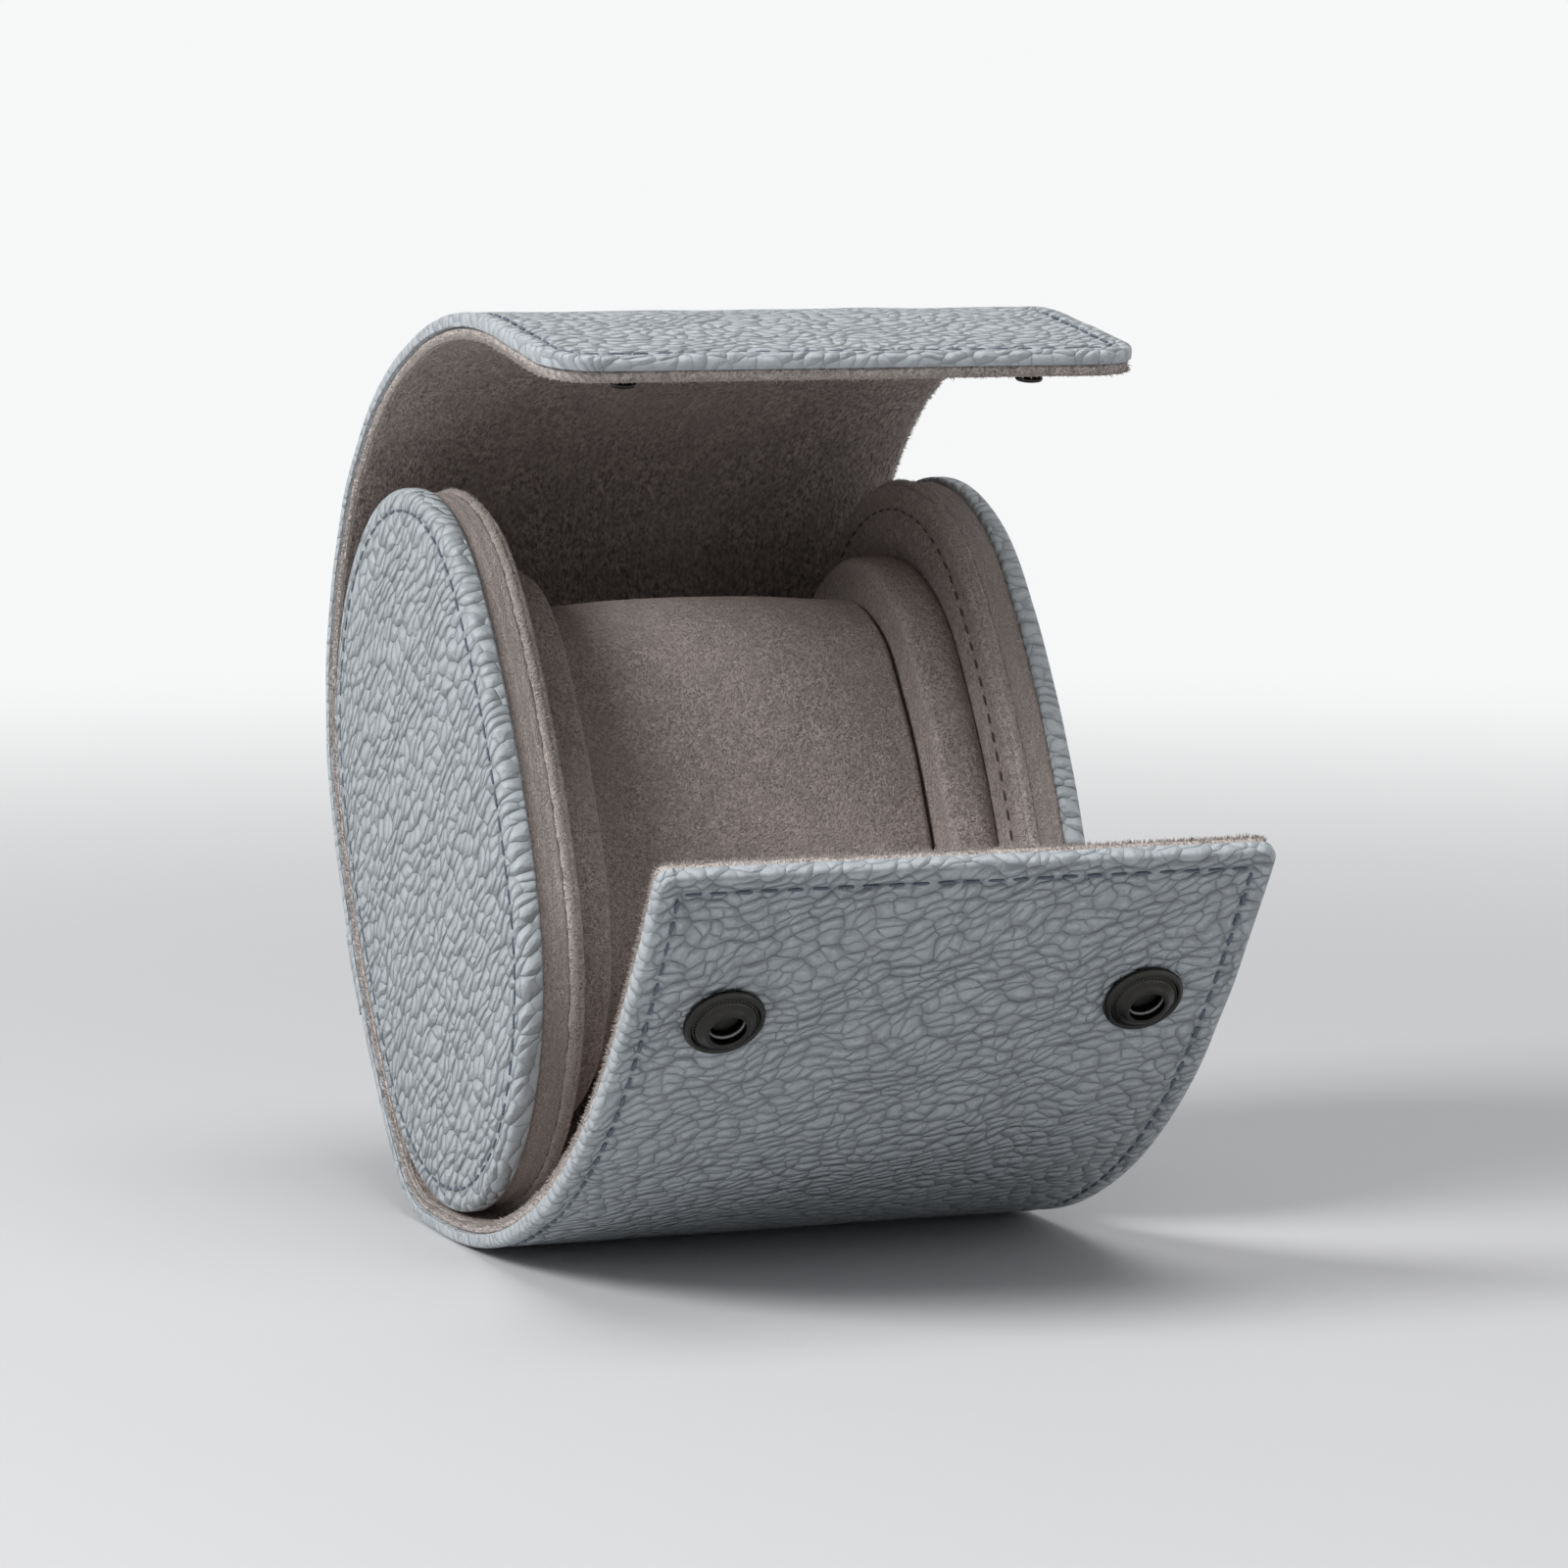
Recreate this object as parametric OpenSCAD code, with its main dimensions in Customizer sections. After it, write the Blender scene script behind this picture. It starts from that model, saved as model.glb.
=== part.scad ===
// Watch roll: two oval end walls joined by one wrap of leather and suede, whose ends are the two flaps.
// X runs along the roll, Y to its back, Z up. The origin is the point on the floor under the foot, mid width.
// All arcs of the wrap are given as seen from the side, by the angle of their outward face:
// 0 faces the back, 90 up, 180 the front and 270 the floor.

/* [Wrap] */
// Width of the wrap along the roll
wrap_w = 85; // [76:1:100]
// Thickness of the outer leather at its turned edge
skin_t = 2; // [1.8:0.1:2.6]
// Thickness of the suede lining
lining_t = 1.6; // [1.4:0.1:2.2]
// Thickness of the stiffening boards between them
board_t = 0.9; // [0.7:0.1:1.2]
// Width of the turned leather edge beside the boards
turned_edge_w = 4; // [3:0.5:6]
// Rounding of the outer leather's long edges
leather_edge_r = 0.9; // [0.5:0.1:0.9]
// Rounding of the lining's long edges
lining_edge_r = 0.6; // [0.3:0.1:0.7]
// Set-in of the lining from the leather's edge
lining_set_in = 0.5; // [0.3:0.1:1.5]
// Clear space between the lining and the end walls
wrap_gap = 0.3; // [0.2:0.1:0.6]
// Length of the flat foot behind the start of the front flap
foot_l = 9; // [6:0.5:10]
// Share of the foot that lies ahead of the lowest point of the oval
foot_ahead = 1.2; // [0:0.2:3]
// Angle at which the lower leather ends and the back leather laps over it
lap_angle = 326; // [322:1:330]
// Height of the back leather's edge over the lower leather
lap_t = 0.7; // [0.5:0.1:0.9]
// Length over which the lap fades into the back
lap_l = 12; // [9:1:15]

/* [End walls] */
// Size of the oval across its short axis
oval_w = 75; // [74:1:80]
// Size of the oval along its long axis
oval_h = 105; // [100:1:112]
// How much less the radius of the oval's ends is than half its width
oval_end_drop = 1.5; // [1.5:0.5:3.5]
// Backward lean of the oval's long axis
lean = 31; // [28:1:33]
// Thickness of each end wall
wall_t = 9.5; // [9:0.5:12]
// Set-in of the end walls' faces from the wrap's edges
wall_set_in = 0.4; // [0.2:0.1:1]
// Depth of the leather cap along the roll
cap_depth = 3.2; // [2.8:0.1:3.4]
// Thickness of the cap's leather face
cap_face_t = 1.3; // [1:0.1:1.5]
// Width of the cap's padded rim
cap_rim_w = 3; // [2.5:0.1:4]
// Rounding of the cap's outer edge
cap_edge_r = 1.4; // [1:0.1:1.4]
// Thickness of the suede on the walls and pads
suede_t = 1.2; // [1:0.1:1.4]
// Set-in of the suede band from the cap's outline
band_set_in = 0.8; // [0.5:0.1:1.5]
// Width of the rolled seam at the wall's inner edge
seam_w = 1.4; // [1.2:0.1:1.8]
// Height of the rolled seam over the band
seam_rise = 0.5; // [0.3:0.1:0.7]

/* [Pillow and pads] */
// Size of the pillow across its short axis
pillow_w = 48; // [47:1:50]
// Size of the pillow along its long axis
pillow_h = 71; // [66:1:74]
// How much less the radius of the pillow's ends is than half its width
pillow_end_drop = 1; // [1:0.5:4]
// Clear space between each end of the pillow and its pad
pillow_gap = 0.4; // [0.3:0.1:1]
// Rise of the pillow's middle over its ends
pillow_crown = 1.2; // [0.6:0.2:2]
// Rounding of the pillow's end edges
pillow_edge_r = 3; // [2:0.5:4]
// Thickness of the pillow's suede cover
cover_t = 1.4; // [1:0.1:1.8]
// Height of the pads on the inner faces of the walls
pad_h = 7; // [5:0.5:8]
// Reach of the pads round the pillow's outline
pad_margin = 5; // [3:0.5:6]
// Rounding of the pads' edges
pad_edge_r = 2.5; // [1.5:0.5:3]

/* [Top flap] */
// Outer radius of the top flap's first bend
top_bend_r = 58.4; // [57:0.2:60]
// Angle turned by the first bend
top_bend_a = 60.8; // [58:0.2:63]
// Outer radius of the top flap's second bend
top_crest_r = 83; // [80:1:88]
// Angle turned by the second bend
top_crest_a = 38.3; // [36:0.1:40]
// Length of the straight end of the top flap
top_end_l = 24.5; // [22:0.5:27]
// Radius of the top flap's free corners
top_corner_r = 7; // [4:0.5:10]
// Places of the three folds, along the lining from the start of the flap
top_folds = [20, 45, 97];
// Angle that each fold closes by
top_fold_close = [15.6, 13.33, 23.89];
// Angle that each fold opens by
top_fold_open = [6, 5.2, 9.2];

/* [Front flap] */
// Outer radius of the front flap's first bend
front_bend_r = 94; // [91:1:98]
// Angle turned by the first bend
front_bend_a = 50.4; // [48:0.2:53]
// Outer radius of the front flap's second bend
front_end_r = 238; // [220:2:260]
// Angle turned by the second bend
front_end_a = 8.2; // [7:0.1:9]
// Radius of the front flap's free corners
front_corner_r = 2; // [1:0.5:4]
// Places of the three folds, along the lining from the foot
front_folds = [12, 34, 58];
// Angle that each fold closes by
front_fold_close = [21.3, 21.3, 20.7];
// Angle that each fold opens by
front_fold_open = [5, 5, 5];
// Half of the clear space at a fold
fold_clearance = 0.1; // [0.05:0.05:0.2]
// Set-back of the boards from each fold
board_set_back = 1.5; // [1:0.5:3]

/* [Snaps] */
// Distance between the two snaps
snap_spacing = 58.4; // [50:0.4:64]
// Distance from the front flap's free edge to the sockets
socket_from_edge = 24.3; // [20:0.1:28]
// Distance from the top flap's free edge to the studs
stud_from_edge = 9.3; // [8:0.1:14]
// Outer diameter of a snap socket
socket_d = 11; // [10:0.5:12.5]
// Height of a snap socket over the leather
socket_h = 2.4; // [2:0.1:3]
// Diameter of a socket's mouth
socket_mouth_d = 4.8; // [4.4:0.1:5.2]
// Diameter of a stud's head
stud_head_d = 3.8; // [3.4:0.1:4]
// Diameter of a stud's base
stud_base_d = 9; // [8:0.5:10]
// Height of a stud's base
stud_base_h = 0.6; // [0.4:0.1:0.6]
// Wire diameter of the spring in a socket
spring_wire_d = 0.6; // [0.5:0.05:0.7]
// Diameter of the posts' heads
post_head_d = 9; // [8:0.5:10]
// Diameter of the posts' shanks
post_shank_d = 3; // [2.6:0.1:3.2]
// Thickness of the posts' heads
post_head_t = 0.5; // [0.4:0.05:0.6]

/* [Hidden] */
$fn = 72;
LEATHER = [0.66, 0.70, 0.73];
SUEDE = [0.53, 0.48, 0.45];
BOARD = [0.62, 0.55, 0.44];
FOAM = [0.86, 0.84, 0.78];
METAL = [0.36, 0.36, 0.38];
SPRING = [0.78, 0.78, 0.80];
wrap_t = skin_t + lining_t;
cut = 0.05;
post_clearance = 0.1;
glue_t = 0.05;
join_gap = 0.01;
join_l = 0.2;
join_rise = 0.02;
$rise = 0;

// The four-centre oval: half sizes, flank radius, distance of the end centres and half angle of a flank
function flank_r(o) = round(500 * (pow(o[1] - o[2], 2) + pow(o[0], 2) - pow(o[2], 2)) / (o[0] - o[2])) / 1000;
function flank_half_angle(o) = acos((flank_r(o) - o[0]) / (flank_r(o) - o[2]));
function end_offset(o) = (flank_r(o) - o[2]) * sin(flank_half_angle(o));
function face(a) = [cos(a), sin(a)];
function degrees_of(l, r) = l / r * 180 / PI;

oval_end_r = oval_w / 2 - oval_end_drop;
pillow_end_r = pillow_w / 2 - pillow_end_drop;
wall_oval = [oval_w / 2, oval_h / 2, oval_end_r];
pillow_oval = [pillow_w / 2, pillow_h / 2, pillow_end_r];
pad_oval = [for (v = pillow_oval) v + pad_margin];
long_axis = [sin(lean), cos(lean)];
low_centre = [0, oval_end_r + wrap_gap + wrap_t];
oval_centre = low_centre + end_offset(wall_oval) * long_axis;
high_centre = oval_centre + end_offset(wall_oval) * long_axis;
back_centre = oval_centre - (flank_r(wall_oval) - wall_oval[0]) * [cos(lean), -sin(lean)];
wall_face_x = wrap_w / 2 - wall_set_in;
wall_inner_x = wall_face_x - wall_t;
pad_face_x = wall_inner_x - pad_h;
pillow_half_l = pad_face_x - pillow_gap;

// The wrap's fixed part: each bend is [centre, radius of the lining's face, first angle, last angle]
back_r = flank_r(wall_oval) + wrap_gap;
back_angles = [360 - lean - flank_half_angle(wall_oval), 360 - lean + flank_half_angle(wall_oval)];
foot_back = foot_l - foot_ahead;
heel_r = (pow(back_r, 2) - pow(foot_back - back_centre[0], 2) - pow(wrap_t - back_centre[1], 2))
    / (2 * (back_r + wrap_t - back_centre[1]));
heel_centre = [foot_back, wrap_t + heel_r];
heel_angle = 360 + atan2(heel_centre[1] - back_centre[1], heel_centre[0] - back_centre[0]);
heel_bend = [heel_centre, heel_r, 270, heel_angle];
back_bend = [back_centre, back_r, heel_angle, back_angles[1]];
shoulder_bend = [high_centre, oval_end_r + wrap_gap, back_angles[1], 360];

// The flaps' bends
top_r = [top_bend_r - wrap_t, top_crest_r - wrap_t];
top_centre_1 = high_centre + [oval_end_r + wrap_gap - top_r[0], 0];
top_centre_2 = top_centre_1 + (top_r[0] - top_r[1]) * face(top_bend_a);
top_end_angle = top_bend_a + top_crest_a;
front_r = [front_bend_r - wrap_t, front_end_r - wrap_t];
front_turn_angle = 270 - front_bend_a;
front_edge_angle = front_turn_angle - front_end_a;
front_centre_1 = [-foot_ahead, front_bend_r];
front_centre_2 = front_centre_1 + (front_r[0] - front_r[1]) * face(front_turn_angle);
top_first_l = top_r[0] * top_bend_a * PI / 180;
function top_angle(l) = l <= top_first_l ? degrees_of(l, top_r[0])
    : top_bend_a + degrees_of(l - top_first_l, top_r[1]);
function front_angle(l) = 270 - degrees_of(l, front_r[0]);
top_fold_angles = [for (l = top_folds) top_angle(l)];
front_fold_angles = [for (l = front_folds) front_angle(l)];

// The side view: x of a flat shape runs to the back, y up and its height along the roll
module side_view() {
    rotate([90, 0, 90]) children();
}

// Puts a flat shape's origin at a point of the side view, its x along the outward face's angle
module on_face(point, angle) {
    side_view() translate([point[0], point[1], 0]) rotate([0, 0, angle]) children();
}

// Carries a profile of [height over the lining's face, place along the roll] straight on, to rising angles
module straight(point, angle, l) {
    on_face(point, angle) translate([0, l, 0]) rotate([90, 0, 0]) linear_extrude(l) children();
}

// Sweeps a profile along a list of lengths. A bend is [centre, radius of the lining's face, first angle,
// last angle]; a straight length is [start, 0, angle of its outward face, length].
module run(lengths) {
    for (s = lengths)
        if (s[1] > 0) {
            trim = degrees_of(join_gap, s[1]);
            on_face(s[0], s[2] + trim)
                rotate_extrude(angle = s[3] - s[2] - 2 * trim) translate([s[1], 0]) children();
        } else
            straight(s[0] + join_gap * face(s[2] + 90), s[2], s[3] - 2 * join_gap) children();
    if (len(lengths) > 1)
        for (i = [1 : len(lengths) - 1]) join(lengths[i]) children();
}

// A short band, a hair thicker than the layer, fills the hair gap before a length and makes one solid of both
module join(s) {
    $rise = join_rise;
    start = s[1] > 0 ? s[0] + s[1] * face(s[2]) : s[0];
    straight(start + join_l * face(s[2] - 90), s[2], 2 * join_l) children();
}

// Profiles of the wrap's three layers, with a line of glue between them
leather_low = lining_t + glue_t;
board_space = board_t + glue_t;

module leather_profile() {
    r = leather_edge_r;
    half = wrap_w / 2 + $rise;
    low = leather_low - $rise;
    top = wrap_t + $rise;
    board_half = wrap_w / 2 - turned_edge_w - $rise;
    difference() {
        union() {
            translate([low, -half]) square([top - r - low, 2 * half]);
            translate([low, -half + r]) square([top - low, 2 * (half - r)]);
            for (s = [-1, 1])
                translate([top - r, s * (half - r)]) circle(r);
        }
        translate([leather_low - cut, -board_half]) square([board_space + cut - $rise, 2 * board_half]);
    }
}

module lap_profile() {
    r = leather_edge_r;
    half = wrap_w / 2;
    depth = lap_t + 0.1;
    translate([wrap_t - depth, -half + r]) square([depth, 2 * (half - r)]);
    for (s = [-1, 1])
        translate([wrap_t - r, s * (half - r)]) circle(r);
}

module lining_profile() {
    r = lining_edge_r;
    half = wrap_w / 2 - lining_set_in + $rise;
    translate([r - $rise, -half]) square([lining_t + 2 * $rise - r, 2 * half]);
    translate([-$rise, -half + r]) square([lining_t + 2 * $rise, 2 * (half - r)]);
    for (s = [-1, 1])
        translate([r - $rise, s * (half - r)]) circle(r);
}

module board_profile() {
    half = wrap_w / 2 - turned_edge_w - post_clearance + $rise;
    translate([leather_low - $rise, -half]) square([board_t - glue_t + 2 * $rise, 2 * half]);
}

// The clear groove at a fold: it lets the fold close on the inside and open on the outside
module fold_groove(point, angle, close_a, open_a, set_back = 0) {
    d = wrap_t + lap_t;
    c = fold_clearance + set_back;
    close_w = c + d * tan(close_a / 2);
    open_w = c + d * tan(open_a / 2);
    on_face(point, angle)
        linear_extrude(wrap_w + 2, center = true)
            polygon([[-d, -close_w], [0, -c], [d, -open_w], [d, open_w], [0, c], [-d, close_w]]);
}

function top_fold_point(i) = top_folds[i] <= top_first_l
    ? top_centre_1 + (top_r[0] + wrap_t / 2) * face(top_fold_angles[i])
    : top_centre_2 + (top_r[1] + wrap_t / 2) * face(top_fold_angles[i]);

module top_groove(i, set_back = 0) {
    fold_groove(top_fold_point(i), top_fold_angles[i], top_fold_close[i], top_fold_open[i], set_back);
}

module front_groove(i, set_back = 0) {
    fold_groove(front_centre_1 + (front_r[0] + wrap_t / 2) * face(front_fold_angles[i]),
        front_fold_angles[i], front_fold_close[i], front_fold_open[i], set_back);
}

// Takes a layer back from a flap's free edge and rounds its corners there; y is the way to the edge
module free_edge(margin, corner_r) {
    r = max(corner_r - margin, 0.5);
    half = wrap_w / 2 - margin;
    translate([-wrap_t, -margin, -wrap_w]) cube([4 * wrap_t, margin + 1, 2 * wrap_w]);
    for (s = [-1, 1])
        translate([0, -margin - r, s * (half - r)])
            difference() {
                translate([-wrap_t, 0, s > 0 ? 0 : -r - 1]) cube([3 * wrap_t, r + 1, r + 1]);
                rotate([0, 90, 0]) cylinder(h = 8 * wrap_t, r = r, center = true);
            }
}

// Fixed part of the wrap, from the first fold of the front flap to the first fold of the top flap
lower_lengths = [
    [front_centre_1, front_r[0], front_fold_angles[0], 270],
    [[-foot_ahead, wrap_t], 0, 270, foot_l],
    [heel_centre, heel_r, 270, heel_angle],
];
upper_lengths = [
    [high_centre, oval_end_r + wrap_gap, back_angles[1], 360],
    [top_centre_1, top_r[0], 0, top_fold_angles[0]],
];
fixed_lengths = concat(lower_lengths, [[back_centre, back_r, heel_angle, back_angles[1]]], upper_lengths);

module foot_leather() {
    color(LEATHER) difference() {
        run(concat(lower_lengths, [[back_centre, back_r, heel_angle, lap_angle]])) leather_profile();
        front_groove(0);
    }
}

// The lap's outer face has the back's own radius, but leans so that it sinks into the back after its length
module back_leather() {
    fade_angle = lap_angle + degrees_of(lap_l, back_r + wrap_t);
    shift = lap_t / sin(fade_angle - lap_angle);
    turn = degrees_of(shift, back_r + wrap_t);
    color(LEATHER) difference() {
        union() {
            run(concat([[back_centre, back_r, lap_angle, back_angles[1]]], upper_lengths)) leather_profile();
            run([[back_centre + shift * face(fade_angle - 90), back_r, lap_angle + turn, fade_angle + turn + 0.8]])
                lap_profile();
        }
        top_groove(0);
    }
}

module back_lining() {
    color(SUEDE) difference() {
        run(fixed_lengths) lining_profile();
        front_groove(0);
        top_groove(0);
    }
}

module back_board() {
    color(BOARD) difference() {
        run(fixed_lengths) board_profile();
        front_groove(0, board_set_back);
        top_groove(0, board_set_back);
    }
}

// The top flap's three lengths between its folds
top_lengths = [
    [[top_centre_1, top_r[0], top_fold_angles[0], top_fold_angles[1]]],
    [[top_centre_1, top_r[0], top_fold_angles[1], top_bend_a],
        [top_centre_2, top_r[1], top_bend_a, top_fold_angles[2]]],
    [[top_centre_2, top_r[1], top_fold_angles[2], top_end_angle],
        [top_centre_2 + top_r[1] * face(top_end_angle), 0, top_end_angle, top_end_l]],
];

module top_length(i, margin = 0, set_back = 0) {
    difference() {
        run(top_lengths[i]) children();
        top_groove(i, set_back);
        if (i < 2)
            top_groove(i + 1, set_back);
        else
            on_top_edge() free_edge(margin, top_corner_r);
    }
}

// Origin on the top flap's free edge at the lining's face
module on_top_edge() {
    on_face(top_centre_2 + top_r[1] * face(top_end_angle)
        + top_end_l * face(top_end_angle + 90), top_end_angle) children();
}

module on_studs() {
    on_top_edge() for (s = [-1, 1]) translate([0, -stud_from_edge, s * snap_spacing / 2])
        rotate([0, 90, 0]) children();
}

module post_holes() {
    translate([0, 0, -wrap_t]) cylinder(h = 4 * wrap_t, d = post_shank_d + 2 * post_clearance);
}

module top_flap_leather(i) {
    color(LEATHER) top_length(i) leather_profile();
}

module top_flap_lining(i) {
    color(SUEDE) difference() {
        top_length(i, lining_set_in) lining_profile();
        if (i == 2)
            on_studs() post_holes();
    }
}

module top_flap_board(i) {
    color(BOARD) difference() {
        top_length(i, turned_edge_w, board_set_back) board_profile();
        if (i == 2)
            on_studs() {
                post_holes();
                translate([0, 0, lining_t + board_t - post_head_t])
                    cylinder(h = wrap_t, d = post_head_d + 2 * post_clearance);
            }
    }
}

// The front flap's three lengths between its folds
front_lengths = [
    [[front_centre_1, front_r[0], front_fold_angles[1], front_fold_angles[0]]],
    [[front_centre_1, front_r[0], front_fold_angles[2], front_fold_angles[1]]],
    [[front_centre_2, front_r[1], front_edge_angle, front_turn_angle],
        [front_centre_1, front_r[0], front_turn_angle, front_fold_angles[2]]],
];

module front_length(i, margin = 0, set_back = 0) {
    difference() {
        run(front_lengths[i]) children();
        front_groove(i, set_back);
        if (i < 2)
            front_groove(i + 1, set_back);
        else
            on_front_edge() free_edge(margin, front_corner_r);
    }
}

// Origin on the front flap's free edge at the lining's face, y towards the edge
module on_front_edge() {
    on_face(front_centre_2 + front_r[1] * face(front_edge_angle), front_edge_angle)
        mirror([0, 1, 0]) children();
}

module on_sockets() {
    socket_angle = front_edge_angle + degrees_of(socket_from_edge, front_end_r);
    on_face(front_centre_2 + front_r[1] * face(socket_angle), socket_angle)
        for (s = [-1, 1]) translate([0, 0, s * snap_spacing / 2]) rotate([0, 90, 0]) children();
}

module front_flap_leather(i) {
    color(LEATHER) difference() {
        front_length(i) leather_profile();
        if (i == 2)
            on_sockets() post_holes();
    }
}

module front_flap_lining(i) {
    color(SUEDE) difference() {
        front_length(i, lining_set_in) lining_profile();
        if (i == 2)
            on_sockets() translate([0, 0, lining_t - post_head_t])
                cylinder(h = wrap_t, d = post_head_d + 2 * post_clearance);
    }
}

module front_flap_board(i) {
    color(BOARD) difference() {
        front_length(i, turned_edge_w, board_set_back) board_profile();
        if (i == 2)
            on_sockets() post_holes();
    }
}

// Snap sockets: a turned ring with a wide chamber, in which a split spring lies
socket_floor_t = 0.5;
chamber_h = socket_h - 2 * socket_floor_t;
chamber_r = socket_mouth_d / 2 + 0.5;

module snap_sockets() {
    color(METAL) on_sockets() translate([0, 0, wrap_t]) difference() {
        union() {
            cylinder(h = socket_h * 0.45, d = socket_d);
            cylinder(h = socket_h * 0.75, d = socket_d - 1);
            cylinder(h = socket_h, d = socket_d - 3);
        }
        translate([0, 0, socket_floor_t]) cylinder(h = chamber_h, r = chamber_r);
        translate([0, 0, socket_floor_t]) cylinder(h = socket_h, d = socket_mouth_d);
        translate([0, 0, -cut]) cylinder(h = socket_h, d = post_shank_d + 2 * post_clearance);
    }
}

module snap_springs() {
    spring_r = chamber_r - spring_wire_d / 2 - fold_clearance;
    spring_gap_a = 40;
    color(SPRING) on_sockets() translate([0, 0, wrap_t + socket_h / 2])
        rotate([0, 0, spring_gap_a / 2])
            rotate_extrude(angle = 360 - spring_gap_a) translate([spring_r, 0]) circle(d = spring_wire_d);
}

module snap_socket_posts() {
    color(METAL) on_sockets() {
        translate([0, 0, lining_t - post_head_t]) cylinder(h = post_head_t, d = post_head_d);
        translate([0, 0, lining_t - post_head_t])
            cylinder(h = post_head_t + skin_t + socket_floor_t, d = post_shank_d);
    }
}

module snap_studs() {
    head_h = socket_h - socket_floor_t - 2 * post_clearance;
    neck_d = stud_head_d - 0.6;
    color(METAL) on_studs() mirror([0, 0, 1]) difference() {
        union() {
            cylinder(h = stud_base_h, d = stud_base_d);
            cylinder(h = stud_base_h + head_h, d = neck_d);
            translate([0, 0, stud_base_h + head_h / 2]) cylinder(h = head_h / 2, d = stud_head_d);
        }
        translate([0, 0, -cut]) cylinder(h = stud_base_h / 2 + cut, d = post_shank_d + 2 * post_clearance);
    }
}

module snap_stud_posts() {
    color(METAL) on_studs() {
        translate([0, 0, lining_t + board_t - post_head_t]) cylinder(h = post_head_t, d = post_head_d);
        translate([0, 0, -stud_base_h / 2 + post_clearance])
            cylinder(h = stud_base_h / 2 + lining_t + board_t - post_clearance - cut, d = post_shank_d);
    }
}

// The oval's outline, drawn in by a margin; its short axis is x and its long axis y
module oval_outline(o, margin = 0) {
    half_chord = (flank_r(o) - margin) * sin(flank_half_angle(o));
    for (s = [-1, 1])
        translate([0, s * end_offset(o)]) circle(o[2] - margin);
    intersection() {
        translate([-(flank_r(o) - o[0]), 0]) circle(flank_r(o) - margin, $fn = 4 * $fn);
        translate([flank_r(o) - o[0], 0]) circle(flank_r(o) - margin, $fn = 4 * $fn);
        square([2 * o[0], 2 * half_chord], center = true);
    }
}

// Sweeps a profile of [place over the outline, height] round the oval, a quarter at a time
module oval_sweep(o) {
    a = flank_half_angle(o);
    reach = 2 * o[1];
    for (x = [0, 1], y = [0, 1])
        mirror([x, 0, 0]) mirror([0, y, 0])
            intersection() {
                translate([0, 0, -reach]) cube([reach, reach, 2 * reach]);
                translate([o[0] - flank_r(o), 0, 0]) rotate([0, 0, a]) {
                    rotate_extrude(start = -a - 1, angle = a + 1) translate([flank_r(o), 0]) children();
                    translate([flank_r(o) - o[2], 0, 0])
                        rotate_extrude(start = 0, angle = 91 - a) translate([o[2], 0]) children();
                }
            }
}

// Places an oval piece in the side view; z then runs along the roll
module on_wall() {
    translate([0, oval_centre[0], oval_centre[1]]) rotate([-lean, 0, 0]) rotate([90, 0, 90]) children();
}

// A left piece is the mirror of the right one
module on_side(side) {
    if (side < 0)
        mirror([1, 0, 0]) children();
    else
        children();
}

module wall_cap_leather(side) {
    sweep_w = cap_rim_w + 4;
    color(LEATHER) on_side(side) on_wall() translate([0, 0, wall_face_x - cap_depth]) {
        oval_sweep(wall_oval) difference() {
            union() {
                translate([-sweep_w, 0]) square([sweep_w, cap_depth - cap_edge_r]);
                translate([-sweep_w, 0]) square([sweep_w - cap_edge_r, cap_depth]);
                translate([-cap_edge_r, cap_depth - cap_edge_r]) circle(cap_edge_r);
            }
            translate([-sweep_w - cut, -cut]) square([sweep_w - cap_rim_w + cut, cap_depth - cap_face_t + cut]);
        }
        translate([0, 0, cap_depth - cap_face_t]) linear_extrude(cap_face_t)
            oval_outline(wall_oval, sweep_w - cut);
    }
}

module wall_cap_board(side) {
    color(BOARD) on_side(side) on_wall() translate([0, 0, wall_face_x - cap_depth])
        linear_extrude(cap_depth - cap_face_t) oval_outline(wall_oval, cap_rim_w + post_clearance);
}

module wall_core(side) {
    color(FOAM) on_side(side) on_wall() translate([0, 0, wall_inner_x + suede_t])
        linear_extrude(wall_t - suede_t - cap_depth) oval_outline(wall_oval, band_set_in + suede_t);
}

module wall_band(side) {
    color(SUEDE) on_side(side) on_wall() translate([0, 0, wall_inner_x + suede_t + seam_w])
        linear_extrude(wall_t - suede_t - seam_w - cap_depth) difference() {
            oval_outline(wall_oval, band_set_in);
            oval_outline(wall_oval, band_set_in + suede_t);
        }
}

module wall_seam(side) {
    rise = band_set_in - seam_rise;
    r = seam_w / 2;
    color(SUEDE) on_side(side) on_wall() translate([0, 0, wall_inner_x + suede_t])
        oval_sweep(wall_oval) {
            translate([-band_set_in - suede_t, 0]) square([suede_t + seam_rise - r, seam_w]);
            translate([-rise - r, r]) circle(r);
        }
}

module wall_inner_panel(side) {
    color(SUEDE) on_side(side) on_wall() translate([0, 0, wall_inner_x])
        linear_extrude(suede_t) oval_outline(wall_oval, band_set_in);
}

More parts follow.
